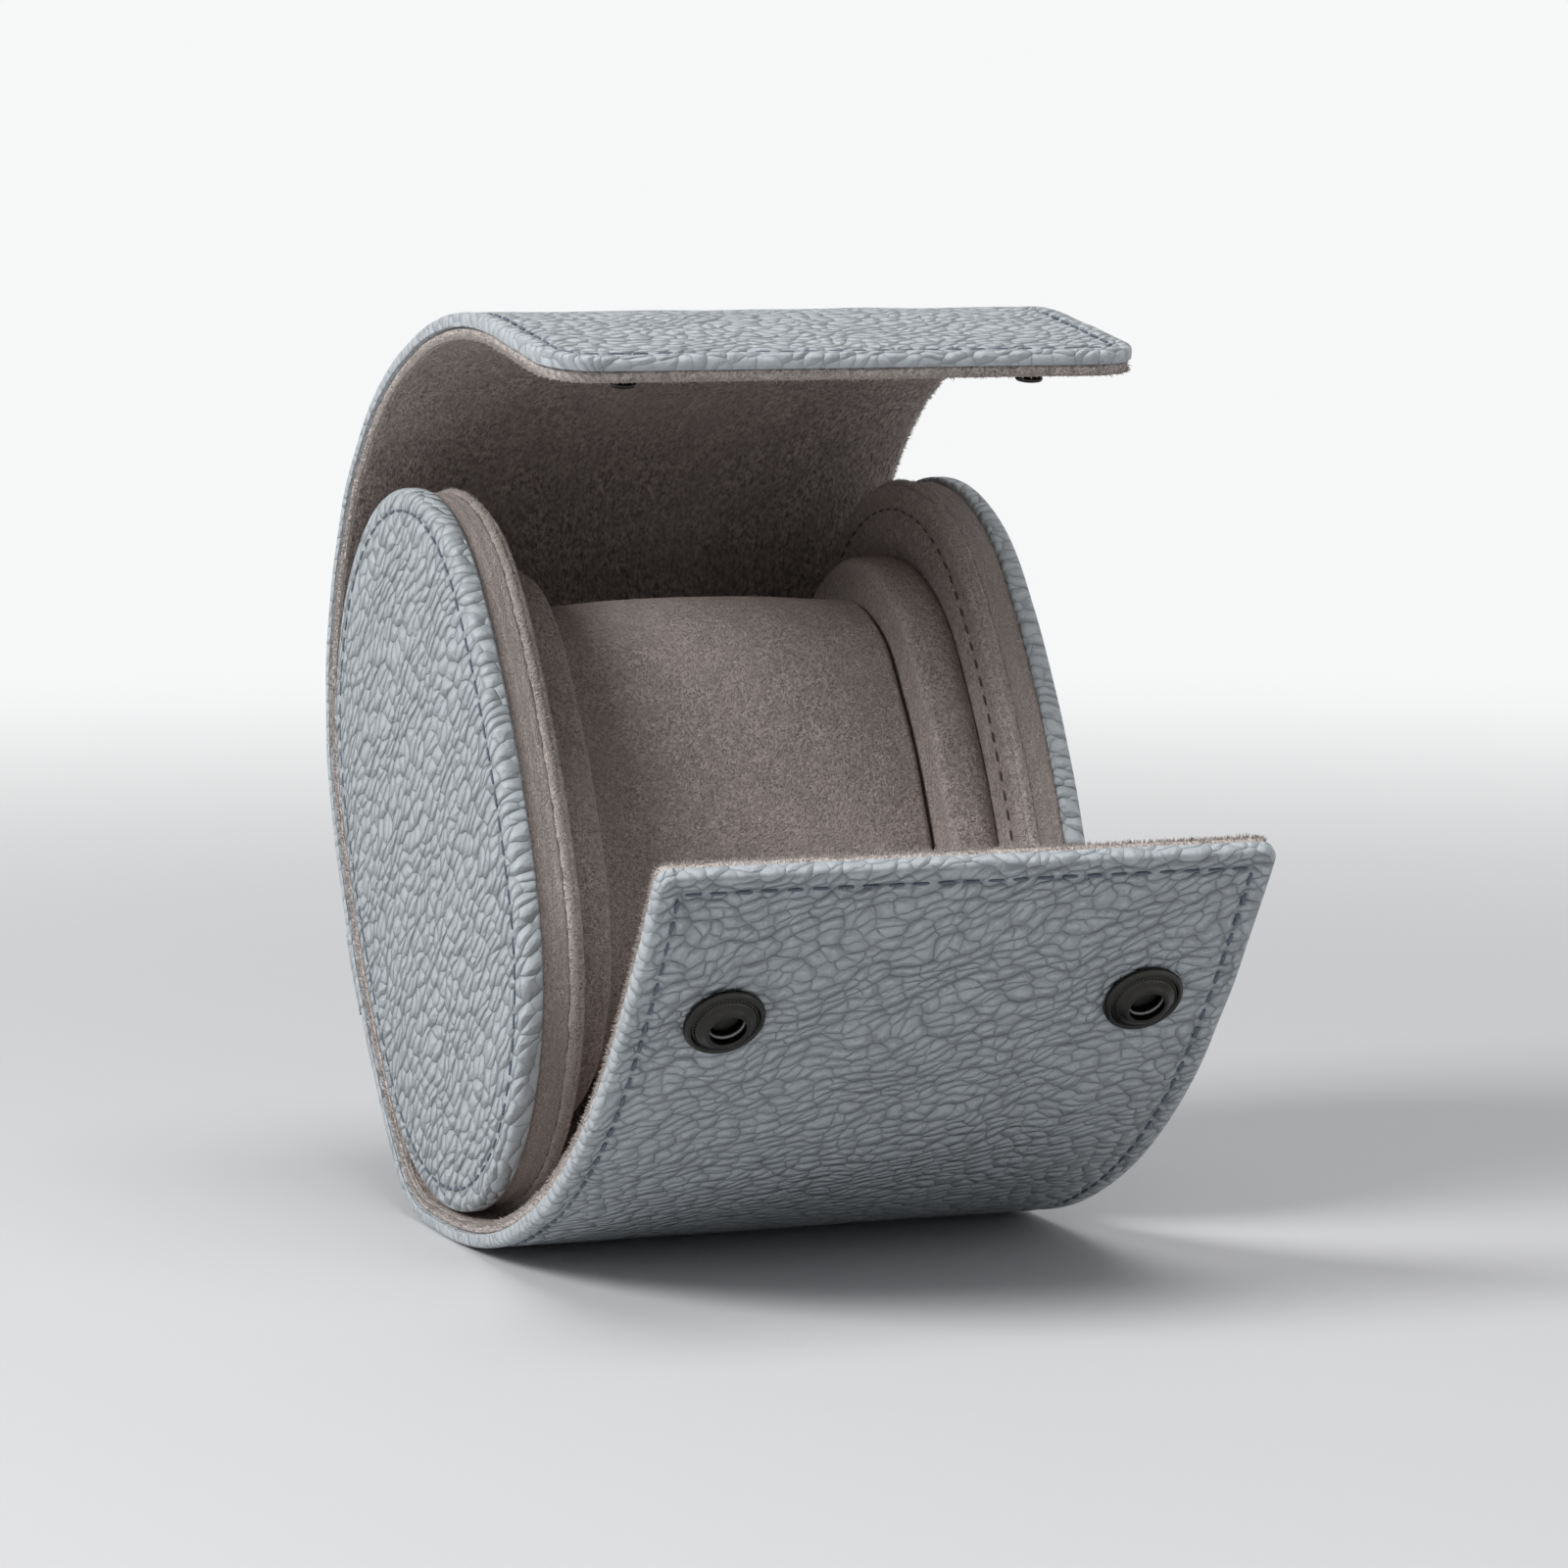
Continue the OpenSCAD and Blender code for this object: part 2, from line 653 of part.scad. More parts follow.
// A soft pad on the inner face of each wall holds the pillow's end
module pad_cover(side) {
    sweep_w = pad_edge_r + suede_t + 2;
    color(SUEDE) on_side(side) on_wall() translate([0, 0, wall_inner_x]) mirror([0, 0, 1]) {
        oval_sweep(pad_oval) difference() {
            union() {
                translate([-sweep_w, 0]) square([sweep_w, pad_h - pad_edge_r]);
                translate([-sweep_w, 0]) square([sweep_w - pad_edge_r, pad_h]);
                translate([-pad_edge_r, pad_h - pad_edge_r]) circle(pad_edge_r);
            }
            translate([-sweep_w - cut, -cut]) square([sweep_w - suede_t + cut, pad_h - pad_edge_r + cut]);
            translate([-sweep_w - cut, -cut]) square([sweep_w - pad_edge_r + cut, pad_h - suede_t + cut]);
        }
        translate([0, 0, pad_h - suede_t]) linear_extrude(suede_t) oval_outline(pad_oval, sweep_w - cut);
    }
}

module pad_core(side) {
    color(FOAM) on_side(side) on_wall() translate([0, 0, wall_inner_x]) mirror([0, 0, 1]) {
        linear_extrude(pad_h - suede_t) oval_outline(pad_oval, pad_edge_r);
        linear_extrude(pad_h - pad_edge_r) oval_outline(pad_oval, suede_t);
    }
}

// The pillow: a suede sleeve with a crowned outside and rounded ends, two end panels and a foam core
pillow_edge_y = pillow_half_l - pillow_edge_r;
function crown_drop(y) = pillow_crown * pow(y / pillow_half_l, 2);
pillow_edge_x = -crown_drop(pillow_edge_y) - pillow_edge_r;
pillow_rim_w = 1 - pillow_edge_x;
pillow_wall_w = pillow_crown + cover_t;
crown_steps = 4;

module pillow_sleeve() {
    crown = [for (i = [-crown_steps : crown_steps])
        let (y = pillow_edge_y * i / crown_steps) [-crown_drop(y), y]];
    color(SUEDE) on_wall() oval_sweep(pillow_oval) difference() {
        union() {
            polygon(concat([[-pillow_rim_w, -pillow_edge_y]], crown, [[-pillow_rim_w, pillow_edge_y]]));
            translate([-pillow_rim_w, -pillow_half_l])
                square([pillow_rim_w + pillow_edge_x, 2 * pillow_half_l]);
            for (s = [-1, 1])
                translate([pillow_edge_x, s * pillow_edge_y]) circle(pillow_edge_r);
        }
        translate([-pillow_rim_w - 2 * pillow_edge_r, cover_t - pillow_half_l])
            square([pillow_rim_w + 2 * pillow_edge_r - pillow_wall_w, 2 * (pillow_half_l - cover_t)]);
        translate([-pillow_rim_w - 2 * pillow_edge_r, -pillow_half_l - cut])
            square([2 * pillow_edge_r, 2 * (pillow_half_l + cut)]);
    }
}

module pillow_end(side) {
    color(SUEDE) on_side(side) on_wall() translate([0, 0, pillow_half_l - cover_t])
        linear_extrude(cover_t) oval_outline(pillow_oval, pillow_rim_w + post_clearance);
}

module pillow_core() {
    half_l = pillow_half_l - cover_t - post_clearance;
    color(FOAM) on_wall() translate([0, 0, -half_l])
        linear_extrude(2 * half_l) oval_outline(pillow_oval, pillow_wall_w + post_clearance);
}

foot_leather();
back_leather();
back_lining();
back_board();
top_flap_leather(0);  // top_flap_root_leather
top_flap_lining(0);  // top_flap_root_lining
top_flap_board(0);  // top_flap_root_board
top_flap_leather(1);  // top_flap_middle_leather
top_flap_lining(1);  // top_flap_middle_lining
top_flap_board(1);  // top_flap_middle_board
top_flap_leather(2);  // top_flap_end_leather
top_flap_lining(2);  // top_flap_end_lining
top_flap_board(2);  // top_flap_end_board
front_flap_leather(0);  // front_flap_root_leather
front_flap_lining(0);  // front_flap_root_lining
front_flap_board(0);  // front_flap_root_board
front_flap_leather(1);  // front_flap_middle_leather
front_flap_lining(1);  // front_flap_middle_lining
front_flap_board(1);  // front_flap_middle_board
front_flap_leather(2);  // front_flap_end_leather
front_flap_lining(2);  // front_flap_end_lining
front_flap_board(2);  // front_flap_end_board
snap_sockets();
snap_springs();
snap_socket_posts();
snap_studs();
snap_stud_posts();
wall_cap_leather(-1);  // left_cap_leather
wall_cap_board(-1);  // left_cap_board
wall_core(-1);  // left_wall_core
wall_band(-1);  // left_wall_band
wall_seam(-1);  // left_wall_seam
wall_inner_panel(-1);  // left_inner_panel
pad_cover(-1);  // left_pad_cover
pad_core(-1);  // left_pad_core
wall_cap_leather(1);  // right_cap_leather
wall_cap_board(1);  // right_cap_board
wall_core(1);  // right_wall_core
wall_band(1);  // right_wall_band
wall_seam(1);  // right_wall_seam
wall_inner_panel(1);  // right_inner_panel
pad_cover(1);  // right_pad_cover
pad_core(1);  // right_pad_core
pillow_sleeve();
pillow_end(-1);  // pillow_left_end
pillow_end(1);  // pillow_right_end
pillow_core();
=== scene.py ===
import math

import bpy
import bmesh
import numpy as np
from bpy.props import FloatProperty, FloatVectorProperty, PointerProperty
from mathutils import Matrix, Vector, noise


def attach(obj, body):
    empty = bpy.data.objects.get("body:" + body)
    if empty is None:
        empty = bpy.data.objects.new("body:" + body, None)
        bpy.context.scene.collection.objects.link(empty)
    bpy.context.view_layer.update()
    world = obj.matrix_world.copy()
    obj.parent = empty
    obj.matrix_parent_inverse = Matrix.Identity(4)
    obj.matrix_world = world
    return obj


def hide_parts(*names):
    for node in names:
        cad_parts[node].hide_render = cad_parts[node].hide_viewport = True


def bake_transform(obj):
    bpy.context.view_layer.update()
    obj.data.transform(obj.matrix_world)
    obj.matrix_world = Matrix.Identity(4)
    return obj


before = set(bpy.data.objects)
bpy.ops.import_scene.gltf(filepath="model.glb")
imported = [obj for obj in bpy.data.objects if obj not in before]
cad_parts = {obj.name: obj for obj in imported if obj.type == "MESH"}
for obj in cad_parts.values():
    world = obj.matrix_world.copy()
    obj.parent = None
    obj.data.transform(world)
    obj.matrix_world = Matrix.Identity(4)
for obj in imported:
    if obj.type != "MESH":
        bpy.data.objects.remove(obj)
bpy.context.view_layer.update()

bl_info = {
    "name": "Leather roll with a snap flap",
    "version": (1, 0, 0),
    "blender": (4, 5, 0),
    "location": "3D view > Sidebar > Roll",
    "description": "Dresses the packed roll: pebbled leather, suede, stitches, pads, pillow and snaps",
    "category": "Object",
}

MM = 0.001  # in metres


# ---------------------------------------------------------------- sizes and colours


def length(name, description, default, soft_max=0.2):
    return FloatProperty(
        name=name, description=description, default=default * MM, min=0, soft_max=soft_max,
        unit="LENGTH", precision=5,
    )


def colour(name, description, default):
    return FloatVectorProperty(
        name=name, description=description, default=default, subtype="COLOR", size=3, min=0, max=1,
    )


class RollWrapSizes(bpy.types.PropertyGroup):
    """The wrap: a leather skin outside, a suede lining inside"""

    width: length("Width", "Across the wrap, from side edge to side edge", 85)
    skin_low: length("Skin's inner face", "From the lining's free face to the skin's inner face", 1.65)
    skin_high: length("Wrap's thickness", "From the lining's free face to the skin's outer face", 3.6)
    lining_high: length("Lining's thickness", "Thickness of the suede lining", 1.58)
    skin_edge: length("Skin's edge radius", "Rounding of the turned leather edge", 0.9)
    lining_edge: length("Lining's edge radius", "Rounding of the cut suede edge", 0.5)
    lining_set_in: length("Lining's set-in", "How far the lining stops inside the skin's edge", 0.5)
    top_corner: length("Top flap's corner", "Corner radius of the top flap", 7)
    front_corner: length("Front flap's corner", "Corner radius of the front flap", 2)
    stitch_margin: length("Stitch line's margin", "From the edge to the line of stitches", 3.1)
    stitch_dip: length("Stitch line's dip", "How deep the thread pulls the leather in", 0.34)
    wave: length("Surface wave", "How far the hand-glued skin rises and falls", 0.09)
    fold_spread: length("Fold's spread", "Half the length over which a fold bends", 10.5)


class RollWallSizes(bpy.types.PropertyGroup):
    """The two oval side walls"""

    face: length("Outer face", "From the middle of the roll to the wall's leather face", 42.1)
    cap_depth: length("Cap's depth", "Depth of the leather cap", 3.2)
    cap_edge: length("Cap's edge radius", "Rounding round the leather cap", 1.4)
    cap_crown: length("Cap's crown", "How far the padded leather face rises in its middle", 0.9)
    band_set_in: length("Band's set-in", "From the cap's outline in to the suede band", 0.8)
    seam_low: length("Seam's outer side", "From the middle of the roll to the seam's outer side", 34.9)
    inner_face: length("Inner face", "From the middle of the roll to the wall's suede face", 32.6)
    seam_radius: length("Seam's radius", "Half the width of the rolled seam", 0.7)
    stitch_margin: length("Inner stitch line", "From the wall's outline to its inner stitch line", 4.6)
    pad_face: length("Pad's face", "From the middle of the roll to the pad's face", 25.6)
    pad_edge: length("Pad's edge radius", "Rounding round the pad", 1.3)


class RollPillowSizes(bpy.types.PropertyGroup):
    """The loose pillow between the pads"""

    half_length: length("Half length", "From the pillow's middle to its end", 25.2)
    crown: length("Crown", "How far the middle stands over the ends", 1.2)
    edge: length("Edge radius", "Rounding at the ends", 1.1)
    end_lip: length("End's lip", "Width of the turned edge round the end disc", 1.8)


class RollSnapSizes(bpy.types.PropertyGroup):
    """The two snaps"""

    spacing: length("Spacing", "Between the two snaps", 58.4)
    socket_from_edge: length("Socket to edge", "From the front flap's edge to a socket", 24.3)
    stud_from_edge: length("Stud to edge", "From the top flap's edge to a stud", 9.3)
    bead: length("Bead's radius", "Radius of a bead on the socket's ring", 0.15)


class RollStitchSizes(bpy.types.PropertyGroup):
    """Stitches"""

    pitch: length("Pitch", "From stitch to stitch", 3.4)
    long: length("Length", "Length of one stitch", 2.3)
    thick: length("Thread", "Thickness of the thread", 0.56)


class RollFinishes(bpy.types.PropertyGroup):
    """Colours"""

    leather: colour("Leather", "Pebbled leather, the tops of the grain", (0.470, 0.505, 0.530))
    # Painted shade: the darker leather painted into the creases between the pebbles; the leather's random mottling
    # also darkens towards it.
    crease_shade_and_mottle: colour("Leather creases", "Pebbled leather, between the grain", (0.315, 0.345, 0.370))
    leather_edge: colour("Leather's worn edge", "Leather where the edge is rubbed", (0.485, 0.520, 0.545))
    lining: colour("Lining suede", "Suede of the wrap's lining", (0.345, 0.290, 0.270))
    lining_edge: colour("Suede's cut edge", "Cut edge of the suede", (0.760, 0.690, 0.650))
    # Painted light: the wall suede is a lighter copy of the lining's suede, lightened so that the walls, pads and
    # pillow read as brightly lit.
    suede: colour("Wall suede", "Suede of walls, pads and pillow", (0.440, 0.375, 0.352))
    thread: colour("Leather thread", "Thread in the leather", (0.110, 0.130, 0.165))
    dark_thread: colour("Suede thread", "Thread in the suede walls", (0.120, 0.095, 0.088))
    gunmetal: colour("Gunmetal", "Snaps", (0.042, 0.041, 0.038))
    steel: colour("Spring steel", "Springs in the sockets", (0.17, 0.17, 0.17))
    card: colour("Board", "Stiff board inside the wrap and walls", (0.400, 0.300, 0.190))
    foam: colour("Foam", "Foam inside walls, pads and pillow", (0.72, 0.69, 0.62))
    floor: colour("Floor", "Studio floor", (0.66, 0.66, 0.67))


class RollStage(bpy.types.PropertyGroup):
    """Lamps and camera"""

    key: FloatProperty(name="Key lamp", description="Power of the key lamp in watts", default=11.0, min=0)
    fill: FloatProperty(name="Fill lamp", description="Power of the fill lamp in watts", default=0.7, min=0)
    top: FloatProperty(name="Top lamp", description="Power of the top lamp in watts", default=4.4, min=0)
    sky: FloatProperty(name="Sky", description="Strength of the light from all round", default=0.26, min=0)
    lens: FloatProperty(name="Lens", description="Focal length in millimetres", default=131.4, min=10)


GROUPS = {
    "roll_wrap": RollWrapSizes, "roll_wall": RollWallSizes, "roll_pillow": RollPillowSizes,
    "roll_snap": RollSnapSizes, "roll_stitch": RollStitchSizes, "roll_finish": RollFinishes,
    "roll_stage": RollStage,
}


# ---------------------------------------------------------------- shaders


class Sock:
    """A shader socket that sums can be written with."""

    def __init__(self, paint, socket):
        self.paint, self.socket = paint, socket

    def _math(self, operation, a, b):
        return self.paint.node("ShaderNodeMath", {"operation": operation}, {0: a, 1: b})

    def __add__(self, other):
        return self._math("ADD", self, other)

    def __radd__(self, other):
        return self._math("ADD", other, self)

    def __sub__(self, other):
        return self._math("SUBTRACT", self, other)

    def __rsub__(self, other):
        return self._math("SUBTRACT", other, self)

    def __mul__(self, other):
        return self._math("MULTIPLY", self, other)

    def __rmul__(self, other):
        return self._math("MULTIPLY", other, self)


class Paint:
    """The nodes of one material."""

    def __init__(self, name, tree=None):
        if tree is None:
            self.material = bpy.data.materials.new(name)
            self.material.use_nodes = True
        self.tree = tree or self.material.node_tree
        self.tree.nodes.clear()

    def node(self, kind, settings=None, sockets=None, out=0):
        made = self.tree.nodes.new(kind)
        for key, value in (settings or {}).items():
            if key == "stops":
                ramp = made.color_ramp.elements
                while len(ramp) < len(value):
                    ramp.new(0.5)
                for element, (place, level) in zip(ramp, value):
                    element.position, element.color = place, (level, level, level, 1)
            else:
                setattr(made, key, value)
        for key, value in (sockets or {}).items():
            if isinstance(value, Sock):
                self.tree.links.new(value.socket, made.inputs[key])
            else:
                made.inputs[key].default_value = value
        return Sock(self, made.outputs[out])

    def mix(self, share, a, b, blend="MIX"):
        full = [c if isinstance(c, Sock) else (*c, 1) for c in (a, b)]
        settings = {"data_type": "RGBA", "blend_type": blend}
        return self.node("ShaderNodeMix", settings, {0: share, 6: full[0], 7: full[1]}, out=2)

    def vector(self, operation, a, b, c=(0, 0, 0)):
        return self.node("ShaderNodeVectorMath", {"operation": operation}, {0: a, 1: b, 2: c})

    def ease(self, value, low, high, kind="SMOOTHSTEP"):
        """0 at low, 1 at high."""
        settings = {"interpolation_type": kind, "clamp": True}
        return self.node("ShaderNodeMapRange", settings, {"Value": value, 1: low, 2: high, 3: 0.0, 4: 1.0})

    def cloud(self, place, scale, detail=3.0, rough=0.55, out=0):
        sockets = {"Vector": place, "Scale": scale, "Detail": detail, "Roughness": rough}
        return self.node("ShaderNodeTexNoise", {"noise_dimensions": "3D"}, sockets, out)

    def cells(self, place, scale, feature="DISTANCE_TO_EDGE", randomness=1.0, kind="2D"):
        settings = {"voronoi_dimensions": kind, "feature": feature}
        sockets = {"Vector": place, "Scale": scale, "Randomness": randomness}
        return self.node("ShaderNodeTexVoronoi", settings, sockets, out="Distance")

    def flat_place(self):
        """The drawn-out surface in millimetres."""
        return self.node("ShaderNodeUVMap", {"uv_map": "grain"})

    def solid_place(self):
        """The place in the piece in millimetres."""
        return self.vector("MULTIPLY", self.node("ShaderNodeTexCoord", out="Object"), (1000, 1000, 1000))

    def mark(self, name):
        """A number kept on the mesh, such as how near the edge is."""
        return self.node("ShaderNodeAttribute", {"attribute_name": name}, out="Fac")

    def finish(self, sockets, height=None, depth=0.0001):
        if height is not None:
            bump = self.node("ShaderNodeBump", None, {"Strength": 1.0, "Distance": depth, "Height": height})
            sockets["Normal"] = bump
        shader = self.node("ShaderNodeBsdfPrincipled", None, sockets)
        return self.close(shader)

    def close(self, shader):
        end = self.tree.nodes.new("ShaderNodeOutputMaterial")
        self.tree.links.new(shader.socket, end.inputs["Surface"])
        return self.material


PEBBLES_PER_MM = (0.37, 0.56, 0)
PEBBLE_SLANT = 0.38  # radians
PEBBLE_SCATTER = 0.80
PEBBLE_HEIGHT = 0.00150  # metres
NAP_HEIGHT = 0.00060  # metres
NAP_DARK, NAP_LIGHT = 0.44, 1.60


def leather_finish(look):
    """Pebbled leather: long domed pebbles in slanting rows, thin creases, pores, a rubbed edge and a stitch line,
    with painted shade in the creases and in the stitch line's dip and a painted highlight towards each pebble's
    middle.
    """
    p = Paint("leather")
    uv = p.flat_place()
    bend = p.cloud(uv, 0.07, 2.0, out="Color")
    place = p.vector("MULTIPLY_ADD", bend, (7, 7, 0), uv)
    ripple = p.cloud(uv, 0.45, 2.0, out="Color")
    place = p.vector("MULTIPLY_ADD", ripple, (0.8, 0.8, 0), place)
    slant = p.node("ShaderNodeVectorRotate", {"rotation_type": "Z_AXIS"}, {"Vector": place, "Angle": PEBBLE_SLANT})
    long_way = p.vector("MULTIPLY", slant, PEBBLES_PER_MM)
    gap = p.cells(long_way, 1.0, randomness=PEBBLE_SCATTER)
    near = p.ease(gap, 0.0, 0.52, kind="LINEAR")
    far = p.cells(long_way, 1.0, "F1", randomness=PEBBLE_SCATTER)
    dome = 1 - far * far * 1.5 + near * 0.35
    trench = p.ease(gap, 0.0, 0.075)
    broken = p.ease(p.cloud(uv, 0.55, 2.0), 0.38, 0.56)
    split = p.ease(p.cells(p.vector("MULTIPLY", long_way, (1.9, 1.5, 0)), 1.0), 0.0, 0.10)
    pores = p.cloud(uv, 6.0, 3.0)
    swell = p.cloud(uv, 0.26, 2.0)
    rim, dip = p.mark("rim"), p.mark("dip")
    flatten = 1 - rim * 0.62
    pebble = dome * 0.85 + trench * 0.12 * (1 - broken * 0.5) + split * 0.03
    height = pebble * flatten + pores * 0.03 + swell * 0.45
    tone = p.cloud(uv, 0.05, 3.0)
    # Painted shade and highlight: the colour darkens in the creases between the pebbles and lightens towards each
    # pebble's middle, a painted highlight on the domes.
    shade = p.ease(gap, 0.0, 0.05) * (0.40 - broken * 0.15) + near * 0.20 + 0.40 + broken * 0.15
    # Painted shade along the stitch line: the dip mark darkens the leather where the thread pulls it in.
    skin = p.mix(shade * (1 - dip * 0.30), look.crease_shade_and_mottle, look.leather)
    skin = p.mix(p.ease(tone, 0.35, 0.7) * 0.10, skin, look.crease_shade_and_mottle)
    skin = p.mix(rim * (0.20 + pores * 0.5), skin, look.leather_edge)
    gloss = 0.40 + pores * 0.14 + (1 - trench) * 0.22
    return p.finish({"Base Color": skin, "Roughness": gloss, "Specular IOR Level": 0.48}, height, PEBBLE_HEIGHT)


def suede_finish(look, name, tint, flat, coarse=1.0, streak=1.0, paler=0.0):
    """Suede: a speckled nap, brushed light and dark in patches, and a paler cut edge."""
    p = Paint(name)
    place = p.flat_place() if flat else p.solid_place()
    lying = p.vector("MULTIPLY", place, (1, streak, streak))
    nap = p.cloud(lying, 1.9 / coarse, 3.0, 0.75)
    hair = p.cloud(lying, 4.2 / coarse, 2.0, 0.6)
    brushed = p.cloud(lying, 0.42 / coarse, 3.0, 0.6)
    worn = p.cloud(place, 0.06, 3.0, 0.5)
    speckle = p.ease(nap, 0.38, 0.62) * 0.5 + p.ease(hair, 0.38, 0.62) * 0.5
    dark = tuple(c * NAP_DARK for c in tint)
    light = tuple(min(1, c * NAP_LIGHT) for c in tint)
    skin = p.mix(speckle, dark, light)
    skin = p.mix(p.ease(brushed, 0.36, 0.64) * 0.45, skin, tuple(c * 0.72 for c in tint))
    skin = p.mix(p.ease(worn, 0.40, 0.70) * 0.30, skin, tuple(c * 1.30 for c in tint))
    rim = p.mark("rim")
    skin = p.mix(rim * (0.35 + speckle * 0.6) + paler, skin, look.lining_edge)
    height = nap * 0.8 + hair * 0.6 + brushed * 0.8
    return p.finish(
        {
            "Base Color": skin, "Roughness": 0.86 + nap * 0.12, "Specular IOR Level": 0.10,
            "Sheen Weight": 0.30, "Sheen Roughness": 0.40, "Sheen Tint": (*look.lining_edge, 1),
        },
        height, NAP_HEIGHT * coarse,
    )


def thread_finish(name, tint):
    p = Paint(name)
    place = p.solid_place()
    twist = p.node(
        "ShaderNodeTexWave", {"wave_type": "BANDS", "bands_direction": "DIAGONAL"},
        {"Vector": place, "Scale": 1.6, "Distortion": 1.5, "Detail": 2.0}, out="Fac",
    )
    skin = p.mix(twist * 0.6, tint, tuple(min(1, c * 1.5) for c in tint))
    return p.finish({"Base Color": skin, "Roughness": 0.62 + twist * 0.15}, twist, 0.00008)


def metal_finish(name, tint, rough, brushed):
    p = Paint(name)
    place = p.solid_place()
    cloudy = p.cloud(place, 0.8, 3.0)
    lines = p.cloud(p.vector("MULTIPLY", place, (1, 1, 9)), brushed, 3.0, 0.7)
    skin = p.mix(p.ease(cloudy, 0.4, 0.7) * 0.35, tint, tuple(c * 0.6 for c in tint))
    gloss = rough + lines * 0.14 + cloudy * 0.05
    return p.finish({"Base Color": skin, "Metallic": 1.0, "Roughness": gloss}, lines, 0.00002)


def inside_finish(name, tint, scale, rough):
    """Board or foam: fibres or cells."""
    p = Paint(name)
    place = p.solid_place()
    fibre = p.cloud(p.vector("MULTIPLY", place, (0.3, 1, 1)), scale, 4.0, 0.65)
    cell = p.cells(place, scale, "F1", kind="3D")
    skin = p.mix(fibre, tuple(c * 0.75 for c in tint), tuple(min(1, c * 1.15) for c in tint))
    return p.finish({"Base Color": skin, "Roughness": rough + cell * 0.08}, fibre + cell * 0.5, 0.00015)


FINISH = {}


def finish(name):
    """The named material, made when a piece first asks for it."""
    look = bpy.context.scene.roll_finish
    makers = {
        "leather": lambda: leather_finish(look),
        "lining_suede": lambda: suede_finish(look, name, tuple(look.lining), True, coarse=2.1, streak=0.55),
        "fray": lambda: suede_finish(look, name, tuple(look.lining), True, paler=0.55),
        "wall_fray": lambda: suede_finish(look, name, tuple(look.suede), True, paler=0.45),
        "wall_suede": lambda: suede_finish(look, name, tuple(look.suede), False, coarse=1.25),
        "band_suede": lambda: suede_finish(look, name, tuple(look.suede), True, coarse=1.25, streak=1.7, paler=0.16),
        "pillow_suede": lambda: suede_finish(look, name, tuple(look.suede), False, coarse=1.15),
        "thread": lambda: thread_finish(name, tuple(look.thread)),
        "dark_thread": lambda: thread_finish(name, tuple(look.dark_thread)),
        "gunmetal": lambda: metal_finish(name, tuple(look.gunmetal), rough=0.13, brushed=1.5),
        "spring_steel": lambda: metal_finish(name, tuple(look.steel), rough=0.18, brushed=3.0),
        "board": lambda: inside_finish(name, tuple(look.card), scale=1.4, rough=0.8),
        "foam": lambda: inside_finish(name, tuple(look.foam), scale=2.2, rough=0.9),
    }
    if name not in FINISH:
        FINISH[name] = makers[name]()
    return FINISH[name]


# ---------------------------------------------------------------- the wrap's path


def face(angle):
    a = math.radians(angle)
    return np.array([math.cos(a), math.sin(a)])


class SidePath:
    """The lining's free face seen from the side, from the front flap's edge round to the top flap's.

    Each stretch is (centre, radius, first angle, last angle), or (start, 0, angle, length) where it is straight.
    """

    def __init__(self):
        foot_y, heel_y, floor_z, foot_long, lip_long = -1.2, 7.8, 3.6, 9.0, 24.5
        front_end_r, front_r, back_r, high_r, top_r, crest_r = 234.4, 90.4, 127.8, 36.3, 54.8, 79.4
        edge_a, front_a, high_a, crest_a, lip_a = 211.4, 219.6, 339.389, 420.8, 459.1
        front, back, high = np.array([foot_y, 94.0]), np.array([-68.647, 100.397]), np.array([16.996, 68.187])
        front_end = front + (front_r - front_end_r) * face(front_a)
        reach = back_r**2 - (heel_y - back[0]) ** 2 - (floor_z - back[1]) ** 2
        heel_r = reach / (2 * (back_r + floor_z - back[1]))
        heel = np.array([heel_y, floor_z + heel_r])
        heel_a = 360 + math.degrees(math.atan2(heel[1] - back[1], heel[0] - back[0]))
        top = np.array([-1.504, 68.187])
        crest = top + (top_r - crest_r) * face(60.8)
        self.parts = [
            (front_end, front_end_r, edge_a, front_a), (front, front_r, front_a, 270.0),
            (np.array([foot_y, floor_z]), 0, 270.0, foot_long), (heel, heel_r, 270.0, heel_a),
            (back, back_r, heel_a, high_a), (high, high_r, high_a, 360.0), (top, top_r, 360.0, crest_a),
            (crest, crest_r, crest_a, lip_a), (crest + crest_r * face(lip_a), 0, lip_a, lip_long),
        ]
        self.starts = [0.0]
        for _, r, a, b in self.parts:
            self.starts.append(self.starts[-1] + (b if r == 0 else r * math.radians(b - a)))
        self.total = self.starts[-1]

    def at_angle(self, angle):
        """How far along the path (in mm) the skin faces this way."""
        for start, (_, r, a, b) in zip(self.starts, self.parts):
            if r and a <= angle <= b:
                return start + r * math.radians(angle - a)
        raise ValueError(f"the path never faces {angle}")

    def look(self, s):
        """The place and the outward direction at s."""
        s = min(max(s, 0.0), self.total)
        for i, (c, r, a, b) in enumerate(self.parts):
            if s <= self.starts[i + 1] or i == len(self.parts) - 1:
                run = s - self.starts[i]
                if r == 0:
                    out = face(a)
                    return c + run * np.array([-out[1], out[0]]), out
                out = face(a + math.degrees(run / r))
                return c + r * out, out

    def point(self, x, s, n):
        place, out = self.look(s)
        y, z = place + n * out
        return (x, y, z)


PATH = SidePath()
BODIES = (
    "front_flap_end", "front_flap_middle", "front_flap_root", "roll",
    "top_flap_root", "top_flap_middle", "top_flap_end",
)
FOLDS = [PATH.at_angle(a) for a in (233.24, 248.45, 262.39, 380.91, 407.05, 448.83)]
LAP = PATH.at_angle(326.0)
LAP_REACH = 12.0
HALF_WAYS = [(FOLDS[0] + FOLDS[1]) / 2, (FOLDS[1] + FOLDS[2]) / 2, LAP,
             (FOLDS[3] + FOLDS[4]) / 2, (FOLDS[4] + FOLDS[5]) / 2]
STRETCHES = list(zip([0.0] + HALF_WAYS, HALF_WAYS + [PATH.total]))


def wave(*place):
    return noise.noise(Vector(place))


# ---------------------------------------------------------------- meshes


